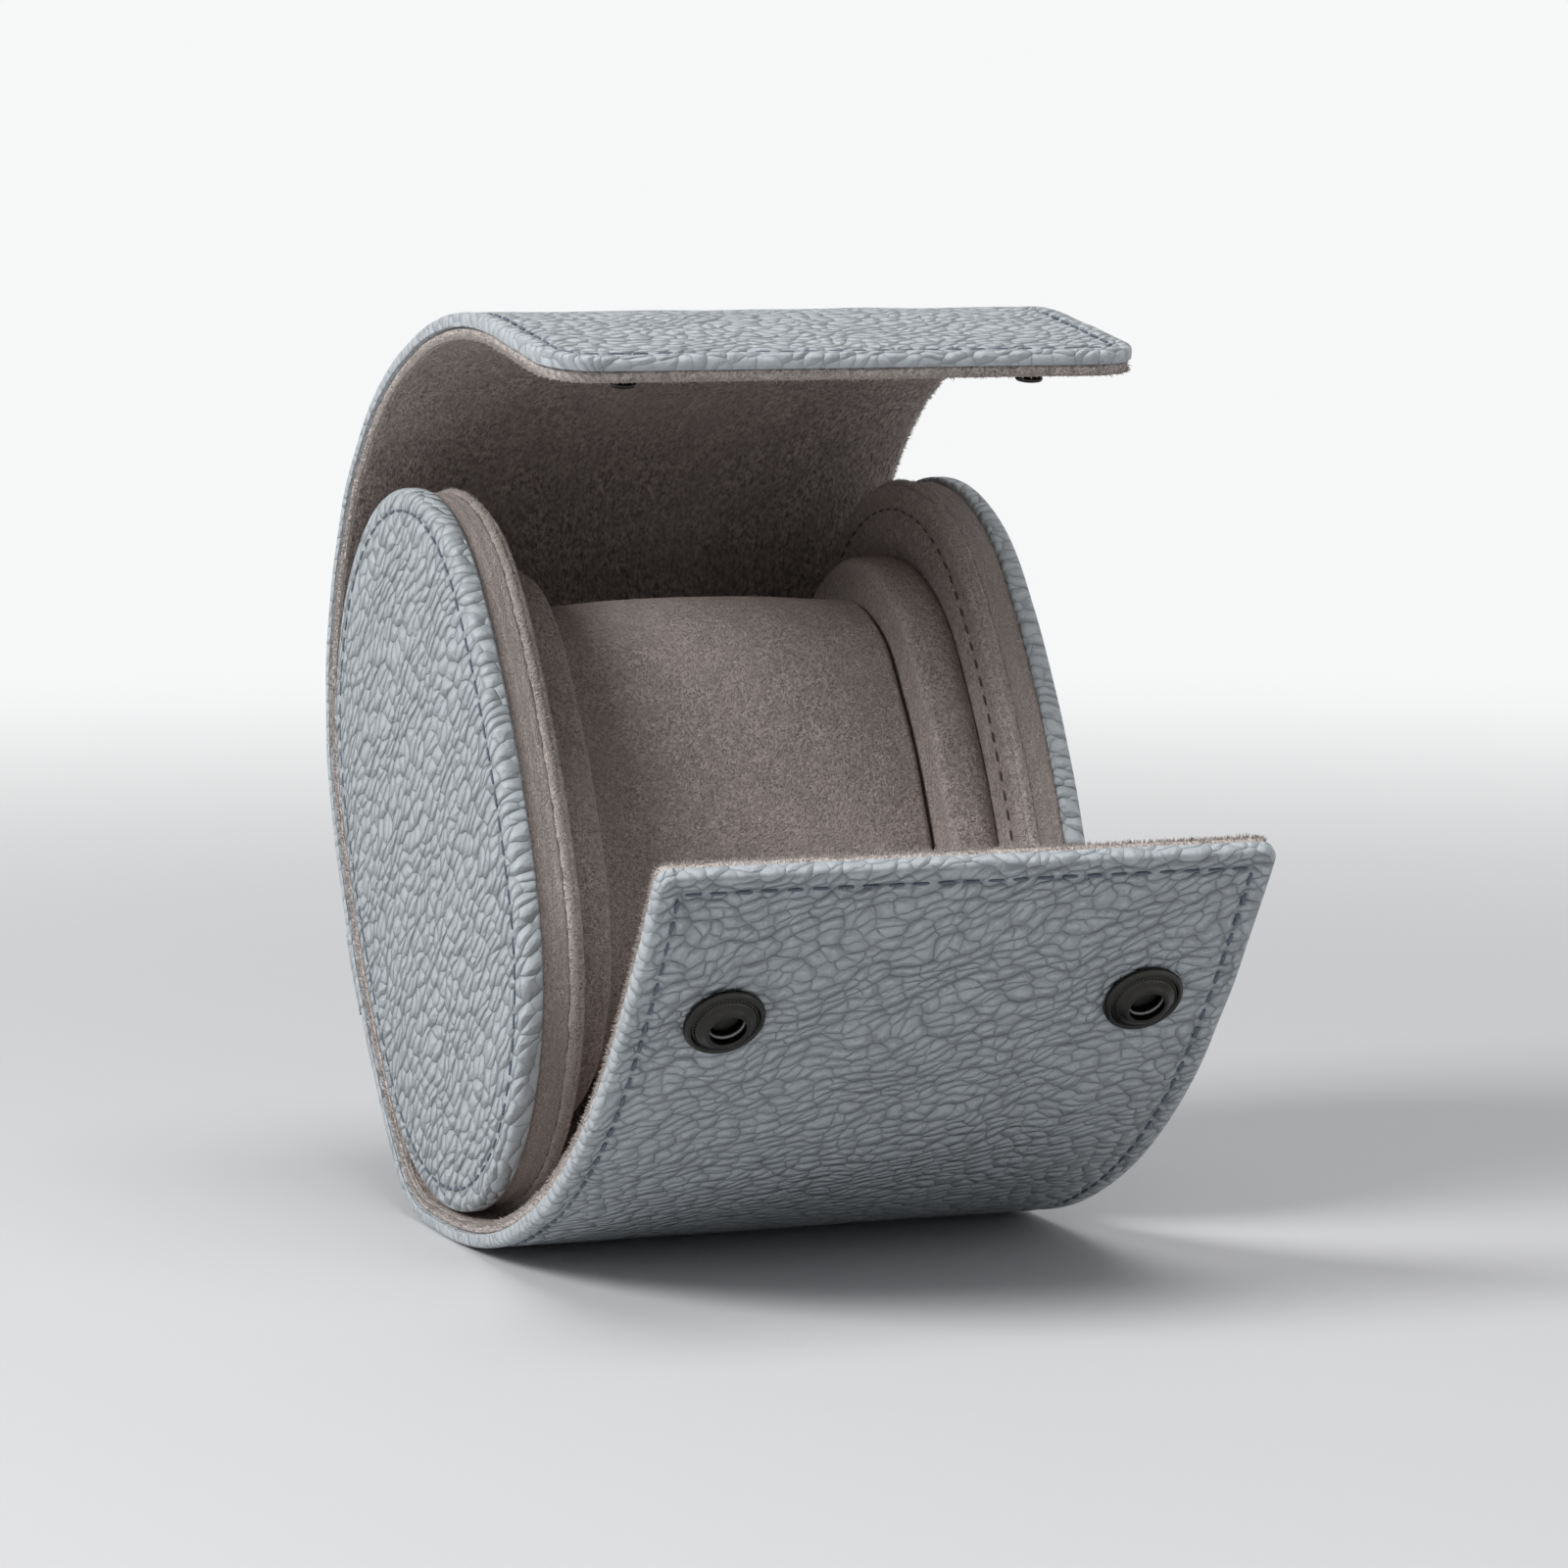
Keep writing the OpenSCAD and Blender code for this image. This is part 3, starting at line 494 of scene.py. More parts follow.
def build(name, points, faces, material, uv=None, marks=None, outward=None):
    """A smooth mesh object from points in mm."""
    mesh = bpy.data.meshes.new(name)
    mesh.from_pydata([tuple(c * MM for c in p) for p in points], [], faces)
    made = bmesh.new()
    made.from_mesh(mesh)
    bmesh.ops.recalc_face_normals(made, faces=made.faces)
    if outward is not None:
        made.faces.ensure_lookup_table()
        index, way = outward
        if made.faces[index].normal.dot(Vector(way)) < 0:
            bmesh.ops.reverse_faces(made, faces=made.faces)
    for f in made.faces:
        f.smooth = True
    made.to_mesh(mesh)
    made.free()
    if uv is not None:
        layer = mesh.uv_layers.new(name="grain")
        corners = np.empty(len(mesh.loops), dtype=np.int32)
        mesh.loops.foreach_get("vertex_index", corners)
        layer.data.foreach_set("uv", np.array(uv, dtype=np.float32)[corners].ravel())
    for mark, values in (marks or {}).items():
        kept = mesh.attributes.new(mark, "FLOAT", "POINT")
        kept.data.foreach_set("value", np.array(values, dtype=np.float32))
    mesh.materials.append(finish(material))
    piece = bpy.data.objects.new(name, mesh)
    bpy.context.scene.collection.objects.link(piece)
    return piece


def rounded(radius, turn=90, steps=5):
    """(inwards, down) along a rounded edge, from the face to the side."""
    turns = [math.radians(turn * i / steps) for i in range(steps + 1)]
    return [(radius * (1 - math.sin(a)), radius * (1 - math.cos(a))) for a in turns]


class Layer:
    """A layer of the wrap between two heights over the path, one stretch long.

    free is 1 where its far end is the top flap's edge, -1 where its near end is the front flap's, and else 0.
    """

    edge_columns = (0, 0.35, 0.8, 1.25, 1.6, 1.9, 2.2, 2.5, 2.9, 3.5, 4.4, 5.6, 7.2)
    edge_rows = (0, 0.25, 0.6, 1.0, 1.4, 1.7, 2.0, 2.3, 2.7, 3.2, 3.9, 4.8, 6.0)
    middle_columns = 11
    dip_width = 0.55

    def __init__(self, s0, s1, low, high, half, edge, low_edge, free=0, corner=0.0, dip=0.0, dip_margin=3.0,
                 swell=0.0, ragged=0.0, step=1.6):
        self.s0, self.s1, self.low, self.high, self.half = s0, s1, low, high, half
        self.edge, self.low_edge, self.free, self.corner = edge, low_edge, free, corner
        self.dip, self.dip_margin, self.swell, self.ragged, self.step = dip, dip_margin, swell, ragged, step
        self.points, self.uv, self.rim, self.dips, self.faces = [], [], [], [], []

    def along(self, t, margin):
        """How far along the path t lies; a free end, at t = 1, is drawn back by margin."""
        start, end = self.s0, self.s1
        if self.free > 0:
            end -= margin
        elif self.free < 0:
            start, end = self.s1, self.s0 + margin
        return start + (end - start) * t

    def reach(self, s, margin):
        """Half the width at s, for the outline this far in."""
        wide = self.half - margin
        if self.free:
            left = (self.s1 - margin - s) if self.free > 0 else (s - self.s0 - margin)
            r = max(self.corner - margin, 0.3)
            if left < r:
                wide += math.sqrt(max(r * r - (r - left) ** 2, 0)) - r
        return wide

    def margin(self, x, s):
        """How far a point lies inside the outline."""
        side = self.half - abs(x)
        if not self.free:
            return side
        end = (self.s1 - s) if self.free > 0 else (s - self.s0)
        r = self.corner
        if side < r and end < r:
            return r - math.hypot(r - side, r - end)
        return min(side, end)

    def add(self, u, t, margin, n, past):
        """One point; past is how far round the edge it lies, for the grain."""
        s = self.along(t, margin)
        x = u * self.reach(s, margin)
        near = self.margin(x, s)
        dip = math.exp(-(((near - self.dip_margin) / self.dip_width) ** 2)) if self.dip else 0
        side = 1 if x > 0 else -1
        rough = self.ragged * (wave(x * 1.9, s * 1.9, n * 1.3) + 0.6 * wave(x * 5, s * 5, 9)) if near < 1.5 else 0
        rise = self.swell * wave(x * 0.09, s * 0.09, 3.1) - self.dip * dip
        lift = rise if n > self.low + 0.4 else 0
        x += side * (0.12 * wave(s * 0.11, side * 7.0, 2.0) * min(1, abs(x) / 30) + rough * (abs(u) > 0.999))
        if self.free and t > 0.9999:
            s += self.free * rough
        self.points.append(PATH.point(x, s, n + lift))
        out = past if abs(u) > 0.999 else 0
        out_end = past if self.free and t > 0.9999 else 0
        self.uv.append((x + side * out, s + self.free * out_end))
        self.rim.append(max(0.0, 1 - near / (self.edge + 0.9)) if n > self.low + 0.2 else (1 if near < 0.8 else 0))
        # Painted-shade mark: how far into the stitch line's dip a point of the face lies; it darkens the leather
        # there.
        self.dips.append(dip if n > self.high - 1 else 0)
        return len(self.points) - 1

    def columns(self):
        """Places across, from -1 to 1, close together near the edges."""
        near = list(self.edge_columns)
        wide = self.half - self.edge
        middle = np.linspace(near[-1], wide, self.middle_columns)[1:]
        inner = [wide - v for v in near + list(middle)]
        return [-v / wide for v in inner] + [v / wide for v in reversed(inner[:-1])]

    def rows(self):
        """Places along, from 0 to 1, close together near a free end."""
        run = self.s1 - self.s0
        count = max(4, int(run / self.step))
        if not self.free:
            return [i / count for i in range(count + 1)]
        near = list(self.edge_rows)
        rest = max(4, int((run - near[-1]) / self.step))
        far = list(np.linspace(near[-1], run, rest + 1)[1:])
        return [1 - v / run for v in reversed(near + far)]

    def sheet(self, us, ts, margin, n):
        return [[self.add(u, t, margin, n, 0.0) for u in us] for t in ts]

    def quads(self, grid):
        for a, b in zip(grid, grid[1:]):
            self.faces += [(a[i], a[i + 1], b[i + 1], b[i]) for i in range(len(a) - 1)]

    def make(self):
        """Fills points and faces, and returns the index of a face on the outside."""
        us, ts = self.columns(), self.rows()
        outer = self.sheet(us, ts, self.edge, self.high)
        first_face = len(self.faces) + (len(ts) // 2) * (len(us) - 1) + len(us) // 2
        self.quads(outer)
        down = [(m, self.high - d) for m, d in rounded(self.edge)]
        up = [(m, self.low + d) for m, d in reversed(rounded(self.low_edge, steps=3))]
        profile = down + up
        inner = self.sheet(us, ts, self.low_edge, self.low)
        last, top = len(us) - 1, len(ts) - 1
        if self.free:
            chains = [[(0, j) for j in range(top)] + [(i, top) for i in range(last + 1)]
                      + [(last, j) for j in range(top - 1, -1, -1)]]
        else:
            chains = [[(0, j) for j in range(top + 1)], [(last, j) for j in range(top + 1)]]
        for chain in chains:
            ring = [outer[j][i] for i, j in chain]
            past, before = 0.0, profile[0]
            for m, n in profile[1:-1]:
                past += math.hypot(m - before[0], n - before[1])
                before = (m, n)
                fresh = [self.add(us[i], ts[j], m, n, past - (self.edge - m)) for i, j in chain]
                self.faces += [(ring[k], ring[k + 1], fresh[k + 1], fresh[k]) for k in range(len(ring) - 1)]
                ring = fresh
            fresh = [inner[j][i] for i, j in chain]
            self.faces += [(ring[k], ring[k + 1], fresh[k + 1], fresh[k]) for k in range(len(ring) - 1)]
        self.quads([list(reversed(row)) for row in inner])
        return first_face

    def piece(self, name, material):
        first = self.make()
        middle = PATH.look(self.along(0.5, 0))[1]
        return build(
            name, self.points, self.faces, material, self.uv, {"rim": self.rim, "dip": self.dips},
            (first, (0, middle[0], middle[1])),
        )


def carry(piece, slot, body, *nodes):
    """Gives a piece the body that carries it, in place of these nodes; slot is not used."""
    if nodes:
        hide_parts(*nodes)
    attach(piece, body)


def stretches(w):
    """Each stretch's number and ends, its free end (-1 front, 1 top, 0 none) and its corner radius."""
    for i, (s0, s1) in enumerate(STRETCHES):
        free = -1 if i == 0 else 1 if i == len(STRETCHES) - 1 else 0
        yield i, s0, s1, free, (w.front_corner if i == 0 else w.top_corner) / MM


def bend(piece, i):
    """Bakes the place of a piece of stretch i into its mesh; the piece is not made to follow its fold."""
    spread = bpy.context.scene.roll_wrap.fold_spread / MM
    ends = [Vector(PATH.point(0, FOLDS[i] + w * spread, 1.8)) * MM for w in (-1, 1)]
    BODIES[i + 1]
    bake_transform(piece)
    return piece


def seeds(long, thick, sections=5, around=6):
    """One stitch lying along X, half sunk."""
    points = [(-long / 2, 0, 0)]
    for i in range(1, sections):
        a = math.pi * i / sections
        for k in range(around):
            b = 2 * math.pi * k / around
            r = thick / 2 * math.sin(a) ** 0.6
            points.append((-long / 2 * math.cos(a), r * math.cos(b), r * math.sin(b)))
    points.append((long / 2, 0, 0))
    faces = [(0, 1 + (k + 1) % around, 1 + k) for k in range(around)]
    for i in range(sections - 2):
        for k in range(around):
            a, b = 1 + i * around + k, 1 + i * around + (k + 1) % around
            faces.append((a, b, b + around, a + around))
    last = len(points) - 1
    faces += [(last, last - around + k, last - around + (k + 1) % around) for k in range(around)]
    return np.array(points), faces


def sew(name, marks, material, long, thick):
    """Stitches at marks, a list of (place, along, out) in mm."""
    seed, seed_faces = seeds(long, thick)
    points, faces = [], []
    for place, along, out in marks:
        along, out = np.array(along, float), np.array(out, float)
        along /= np.linalg.norm(along)
        out = out - along * out.dot(along)
        out /= np.linalg.norm(out)
        across = np.cross(out, along)
        turned = np.array(place) + seed[:, :1] * along + seed[:, 1:2] * across + seed[:, 2:] * out * 0.8
        base = len(points)
        points += [tuple(p) for p in turned]
        faces += [tuple(v + base for v in f) for f in seed_faces]
    return build(name, points, faces, material)


def paced(points, pitch):
    """Evenly spaced (point, direction) along a line of points."""
    points = np.array(points, float)
    steps = np.linalg.norm(np.diff(points, axis=0), axis=1)
    runs = np.concatenate([[0], np.cumsum(steps)])
    count = max(1, int(runs[-1] / pitch))
    marks = []
    for k in range(count):
        at = (k + 0.5) * runs[-1] / count
        place = [np.interp(at, runs, points[:, i]) for i in range(points.shape[1])]
        ahead = [np.interp(min(at + 0.1, runs[-1]), runs, points[:, i]) for i in range(points.shape[1])]
        behind = [np.interp(max(at - 0.1, 0), runs, points[:, i]) for i in range(points.shape[1])]
        marks.append((np.array(place), np.array(ahead) - np.array(behind)))
    return marks


def whiskers(name, roots, material, long, wide):
    """Loose fibres: thin blades at roots, a list of (place, out) in mm."""
    points, faces = [], []
    for k, (place, out) in enumerate(roots):
        lean = Vector((wave(k * 1.7, 1, 1), wave(k * 2.3, 2, 1), wave(k * 3.1, 3, 1))) * 1.4
        way = (Vector(out) + lean).normalized()
        side = way.cross(Vector((wave(k, 5, 5) + 0.3, 0.4, wave(k, 6, 6) - 0.2))).normalized() * wide / 2
        tall = long * (0.45 + 0.9 * abs(wave(k * 0.77, 4, 8)))
        root = Vector(place)
        tip = root + way * tall + Vector((0, 0, 0.12 * wave(k * 1.3, 7, 7)))
        base = len(points)
        points += [tuple(root - side), tuple(root + side), tuple(tip)]
        faces.append((base, base + 1, base + 2))
    uv = [(p[0] * 3, p[2] * 3) for p in points]
    return build(name, points, faces, material, uv, {"rim": [1.0] * len(points)})


# ---------------------------------------------------------------- ovals


class Oval:
    """A flat-sided oval in the roll's side plane, leaning back; sizes are half width, half height, end radius."""

    lean = 31.0
    centre = np.array([8.498, 54.043])

    def __init__(self, half_w, half_h, end_r, count=240):
        flank = (((half_h - end_r) ** 2 + half_w**2 - end_r**2) / (2 * (half_w - end_r)))
        turn = math.acos((flank - half_w) / (flank - end_r))
        lift = (flank - end_r) * math.sin(turn)
        quarter = [flank * turn, end_r * (math.pi / 2 - turn)]
        total = 4 * sum(quarter)
        a = math.radians(-self.lean)
        self.wide = np.array([math.cos(a), math.sin(a)])
        self.tall = np.array([-math.sin(a), math.cos(a)])
        self.places, self.outs, self.count, self.around = [], [], count, total
        for k in range(count):
            run = total * k / count
            flip = [1, 1]
            if run > total / 2:
                run, flip[1] = total - run, -1
            if run > total / 4:
                run, flip[0] = total / 2 - run, -1
            if run <= quarter[0]:
                b = run / flank
                local = np.array([flank * math.cos(b) - (flank - half_w), flank * math.sin(b)])
            else:
                b = turn + (run - quarter[0]) / end_r
                local = np.array([end_r * math.cos(b), lift + end_r * math.sin(b)])
            out = np.array([math.cos(b), math.sin(b)]) * flip
            local = local * flip
            self.places.append(self.centre + local[0] * self.wide + local[1] * self.tall)
            self.outs.append(out[0] * self.wide + out[1] * self.tall)

    def at(self, k, margin):
        k %= self.count
        return self.places[k] - margin * self.outs[k]

    def line(self, margin, x):
        """The closed outline this far in, at x."""
        return [(x, *self.at(k, margin)) for k in range(self.count + 1)]

    def flat(self, place):
        offset = np.array(place) - self.centre
        return (offset.dot(self.wide), offset.dot(self.tall))


CAP_MARGINS = (0.5, 0.9, 1.3, 1.7, 2.1, 2.6, 3.3, 4.4, 6.0)
WALL_OVAL, PAD_OVAL, PILLOW_OVAL = (37.5, 52.5, 36), (29, 40.5, 28, 200), (24, 35.5, 23, 200)


def loft(name, oval, profile, material, side, cap_rings=0, crown=0.0, ripple=0.0, ripple_scale=0.3, band_uv=False,
         rim=None, close_low=False, dip=0.0, dip_margin=3.0, long_grain=1.0):
    """Rings of an oval along profile, (margin, x) in mm from the base up to the face, then a crowned face.

    side is 1 for the right wall and -1 for the left; x is measured from the roll's middle.
    """
    points, faces, uv, rims, dips = [], [], [], [], []
    n = oval.count
    arc = [0.0]
    for (m0, x0), (m1, x1) in zip(profile, profile[1:]):
        arc.append(arc[-1] + math.hypot(m1 - m0, x1 - x0))
    face_m, face_x = profile[-1]

    def ring(values):
        base = len(points)
        for k in range(n):
            (y, z), x, (u, v), edge_mark, dip_shade_mark = values(k)
            shake = ripple * wave(y * ripple_scale, z * ripple_scale, x * ripple_scale + side * 11)
            out = oval.outs[k]
            points.append((side * (x + shake * 0.4), y + out[0] * shake, z + out[1] * shake))
            uv.append((u, v))
            rims.append(edge_mark)
            dips.append(dip_shade_mark)
        return base

    def join(a, b):
        for k in range(n):
            k2 = (k + 1) % n
            faces.append((a + k, a + k2, b + k2, b + k))

    rings = []
    for i, (m, x) in enumerate(profile):
        beyond = arc[-1] - arc[i]

        def values(k, m=m, x=x, beyond=beyond):
            place = oval.at(k, m)
            if band_uv:
                u, v = oval.around * k / n, x
            else:
                u, v = oval.flat(oval.at(k, face_m - beyond))
            return place, x, (u * long_grain, v), (rim(m, x) if rim else 0.0), 0.0

        rings.append(ring(values))
    for a, b in zip(rings, rings[1:]):
        join(a, b)
    if cap_rings:
        margins = [face_m + v for v in CAP_MARGINS]
        deepest = margins[-1]
        steps = [(m, 1.0) for m in margins] + [(deepest, 1 - (i + 1) / cap_rings) for i in range(cap_rings - 1)]
        for m, shrink in steps:

            def values(k, m=m, shrink=shrink):
                place = oval.centre + (oval.at(k, m) - oval.centre) * shrink
                inward = 1 - shrink * (1 - (m - face_m) / 40)
                pull = math.exp(-(((m - dip_margin) / 0.5) ** 2)) if dip and shrink == 1.0 else 0.0
                height = crown * (1 - (1 - min(1, inward * 1.6)) ** 2) - dip * pull
                u, v = oval.flat(place)
                edge_mark = rim(m, face_x) if rim and shrink == 1.0 else 0.0
                # pull also goes out as the painted-shade mark that darkens the leather along the cap's stitch line.
                return place, face_x + height, (u * long_grain, v), edge_mark, pull

            fresh = ring(values)
            join(rings[-1], fresh)
            rings.append(fresh)
        points.append((side * (face_x + crown), *oval.centre))
        uv.append((0.0, 0.0))
        rims.append(0.0)
        dips.append(0.0)
        tip, last = len(points) - 1, rings[-1]
        faces += [(last + k, last + (k + 1) % n, tip) for k in range(n)]
    if close_low:
        faces.append(tuple(range(n - 1, -1, -1)))
    return build(name, points, faces, material, uv, {"rim": rims, "dip": dips})


def mirror_in_x(piece, side, face_x):
    """Turns a loft that was built outwards to look inwards, about its face."""
    for vert in piece.data.vertices:
        vert.co.x = side * (2 * face_x * MM) - vert.co.x
    piece.data.flip_normals()


def carve_line(piece, oval, margin, depth, side, face_x):
    """Pulls the suede in along a stitch line."""
    centres = np.array([oval.at(k, margin) for k in range(oval.count)])
    for vert in piece.data.vertices:
        if abs(abs(vert.co.x) - face_x * MM) > 0.6 * MM:
            continue
        gap = np.min(np.hypot(centres[:, 0] - vert.co.y / MM, centres[:, 1] - vert.co.z / MM))
        vert.co.x += side * MM * depth * math.exp(-((gap / 0.55) ** 2))


def lathe(points, faces, base, out, across, profile, around=64):
    """Adds a turned form: profile is (radius, height) in mm from the outside in."""
    base, out, across = np.array(base), np.array(out), np.array(across)
    third = np.cross(out, across)
    start = len(points)
    for r, h in profile:
        for k in range(around):
            a = 2 * math.pi * k / around
            points.append(tuple(base + out * h + r * (across * math.cos(a) + third * math.sin(a))))
    for i in range(len(profile) - 1):
        for k in range(around):
            a, b = start + i * around + k, start + i * around + (k + 1) % around
            faces.append((a, b, b + around, a + around))
    faces.append(tuple(start + (len(profile) - 1) * around + k for k in range(around)))
    faces.append(tuple(start + around - 1 - k for k in range(around)))


def bead(points, faces, place, r):
    """Adds a small ball."""
    seed, seed_faces = seeds(2 * r, 2 * r, 4, 6)
    base = len(points)
    points += [tuple(p) for p in seed + np.array(place)]
    faces += [tuple(v + base for v in f) for f in seed_faces]


def smooth_by_angle(piece, degrees=35):
    """Keeps the turned edges of metal crisp."""
    made = bmesh.new()
    made.from_mesh(piece.data)
    for e in made.edges:
        if len(e.link_faces) == 2 and e.calc_face_angle(0) > math.radians(degrees):
            e.smooth = False
    made.to_mesh(piece.data)
    made.free()


# ---------------------------------------------------------------- operators


class ROLL_OT_outer_leather(bpy.types.Operator):
    """Make the pebbled leather skin of the wrap, with its turned edge"""

    bl_idname = "roll.outer_leather"
    bl_label = "Outer leather"

    def execute(self, context):
        w = context.scene.roll_wrap
        names = (
            ("front_flap_end_leather",), ("front_flap_middle_leather",), ("front_flap_root_leather", "foot_leather"),
            ("back_leather", "top_flap_root_leather"), ("top_flap_middle_leather",), ("top_flap_end_leather",),
        )
        for i, s0, s1, free, corner in stretches(w):
            overlap = 0.4 if i == 2 else 0.0
            layer = Layer(
                s0, s1 + overlap, w.skin_low / MM, w.skin_high / MM, w.width / MM / 2, w.skin_edge / MM,
                low_edge=0.25, free=free, corner=corner, dip=w.stitch_dip / MM, dip_margin=w.stitch_margin / MM,
                swell=w.wave / MM * 2,
            )
            piece = layer.piece(f"skin_{i + 1}", "leather")
            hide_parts(*names[i])
            bend(piece, i)
        return {"FINISHED"}


class ROLL_OT_back_lap(bpy.types.Operator):
    """Make the lapped seam low on the back, with its row of stitches"""

    bl_idname = "roll.back_lap"
    bl_label = "Back lap"

    def execute(self, context):
        w = context.scene.roll_wrap
        size = context.scene.roll_stitch
        half, high = w.width / MM / 2, w.skin_high / MM
        layer = Layer(
            LAP - 1.0, LAP + LAP_REACH, high - 0.2, high + 0.55, half - 0.05, edge=0.4, low_edge=0.1, free=1,
            corner=0.8, dip=0.12, dip_margin=2.2, swell=0.1,
        )
        carry(layer.piece("back_lap", "leather"), "leather", "roll")
        line = [(x, LAP + 9.6) for x in np.linspace(-half + 3, half - 3, 60)]
        marks = [(PATH.point(x, s, high + 0.5), (1, 0, 0), (0, *PATH.look(s)[1]))
                 for (x, s), _ in paced(line, size.pitch / MM)]
        carry(sew("back_lap_stitches", marks, "thread", size.long / MM, size.thick / MM), "leather", "roll")
        return {"FINISHED"}


class ROLL_OT_lining(bpy.types.Operator):
    """Make the suede lining of the wrap, with its cut and frayed edge"""

    bl_idname = "roll.lining"
    bl_label = "Lining"

    fibre_pitch = 0.075

    def cut_edges(self, half, low, high, free, r):
        """The cut edges of one stretch, as lines of (x, s)."""
        if not free:
            return [[(x, low), (x, high)] for x in (-half, half)]
        end, far, sign = (low, high, 1) if free < 0 else (high, low, -1)
        line = [(-half, far), (-half, end + sign * r)]
        line += [(-half + r - r * math.cos(a), end + sign * (r - r * math.sin(a)))
                 for a in np.linspace(0, math.pi / 2, 8)]
        return [line + [(-x, s) for x, s in reversed(line)]]

    def execute(self, context):
        w = context.scene.roll_wrap
        names = (
            ("front_flap_end_lining",), ("front_flap_middle_lining",), ("front_flap_root_lining",),
            ("back_lining", "top_flap_root_lining"), ("top_flap_middle_lining",), ("top_flap_end_lining",),
        )
        set_in = w.lining_set_in / MM
        half = w.width / MM / 2 - set_in
        for i, s0, s1, free, corner in stretches(w):
            r = max(corner - set_in, 0.5)
            low, high = (s0 + set_in, s1) if free < 0 else (s0, s1 - set_in) if free > 0 else (s0, s1)
            layer = Layer(
                low, high, 0.0, w.lining_high / MM, half, w.lining_edge / MM, w.lining_edge / MM, free,
                r, ragged=0.16, step=0.9,
            )
            piece = layer.piece(f"lining_{i + 1}", "lining_suede")
            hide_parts(*names[i])
            bend(piece, i)
            roots = []
            for line in self.cut_edges(half, low, high, free, r):
                for k, ((x, s), (dx, ds)) in enumerate(paced(line, self.fibre_pitch)):
                    flat_out = np.array([ds, -dx])
                    flat_out /= np.linalg.norm(flat_out) + 1e-9
                    at_end = free and abs(x) < half - r - 0.2
                    if flat_out[0] * x < 0 or at_end and flat_out[1] * (s - (low + high) / 2) < 0:
                        flat_out = -flat_out
                    n = 0.15 + 1.3 * abs(wave(k * 0.61, i, 4) * 1.6) % 1.4
                    out = PATH.look(s)[1]
                    along = np.array([-out[1], out[0]])
                    way = (flat_out[0], *(flat_out[1] * along - 0.25 * out))
                    roots.append((PATH.point(x - 0.1 * flat_out[0], s - 0.1 * flat_out[1], n), way))
            fray = whiskers(f"lining_fray_{i + 1}", roots, "fray", long=0.95, wide=0.19)
            bend(fray, i)
        return {"FINISHED"}


class ROLL_OT_edge_stitches(bpy.types.Operator):
    """Sew the skin to the lining round all the edges of the wrap"""

    bl_idname = "roll.edge_stitches"
    bl_label = "Edge stitches"

    def execute(self, context):
        w, size = context.scene.roll_wrap, context.scene.roll_stitch
        margin, half = w.stitch_margin / MM, w.width / MM / 2
        x1 = half - margin
        line = [(-x1, PATH.total / 2), (-x1, margin + 0.5), (-x1 + 0.5, margin), (x1 - 0.5, margin),
                (x1, margin + 0.5), (x1, PATH.total / 2)]
        r = w.top_corner / MM - margin
        end = PATH.total - margin
        turn = [(x1 - r + r * math.cos(a), end - r + r * math.sin(a)) for a in np.linspace(0, math.pi / 2, 7)]
        top = [(x1, PATH.total / 2)] + turn + [(-x, s) for x, s in reversed(turn)] + [(-x1, PATH.total / 2)]
        for kind, n, out_sign, thread in (
            ("outer", w.skin_high / MM - w.stitch_dip / MM + 0.14, 1, "thread"), ("inner", 0.2, -1, "dark_thread"),
        ):
            groups = [[] for _ in STRETCHES]
            for run in (line, top):
                for (x, s), (dx, ds) in paced(run, size.pitch / MM):
                    if kind == "inner" and abs(x) > x1 - 0.1 and PATH.at_angle(240) < s < PATH.at_angle(375):
                        continue
                    if kind == "outer" and LAP - 1 < s < LAP + LAP_REACH + 0.5:
                        continue
                    out = PATH.look(s)[1]
                    along = (dx, *(ds * np.array([-out[1], out[0]])))
                    i = next(j for j, (a, b) in enumerate(STRETCHES) if a <= s <= b)
                    groups[i].append((PATH.point(x, s, n), along, (0, *(out_sign * out))))
            for i, marks in enumerate(groups):
                if marks:
                    piece = sew(f"{kind}_stitches_{i + 1}", marks, thread, size.long / MM, size.thick / MM)
                    bend(piece, i)
        return {"FINISHED"}


class ROLL_OT_wall_caps(bpy.types.Operator):
    """Make the domed leather caps of the two walls, with their stitches"""

    bl_idname = "roll.wall_caps"
    bl_label = "Wall caps"

    def execute(self, context):
        v, size = context.scene.roll_wall, context.scene.roll_stitch
        oval, margin = Oval(*WALL_OVAL), 3.2
        x1, depth, r = v.face / MM, v.cap_depth / MM, v.cap_edge / MM
        for side, name in ((-1, "left"), (1, "right")):
            profile = [(3.0, x1 - depth), (0.5, x1 - depth), (0.15, x1 - depth + 0.15), (0.0, x1 - depth + 0.5)]
            profile += [(m, x1 - d) for m, d in reversed(rounded(r, steps=6))]
            cap = loft(
                f"{name}_cap", oval, profile, "leather", side, cap_rings=12, crown=v.cap_crown / MM, ripple=0.10,
                ripple_scale=0.10, rim=lambda m, x: max(0.0, 1 - m / 2.0) * 0.8, close_low=True, dip=0.28,
                dip_margin=margin, long_grain=0.70,
            )
            carry(cap, "leather", "roll", f"{name}_cap_leather")
            sink = np.array([side * -0.02, 0, 0])
            marks = [(place + sink, along, (side, 0, 0))
                     for place, along in paced(oval.line(margin, side * x1), size.pitch / MM)]
            seam = sew(f"{name}_cap_stitches", marks, "thread", size.long / MM, size.thick / MM * 0.8)
            carry(seam, "leather", "roll")
        return {"FINISHED"}


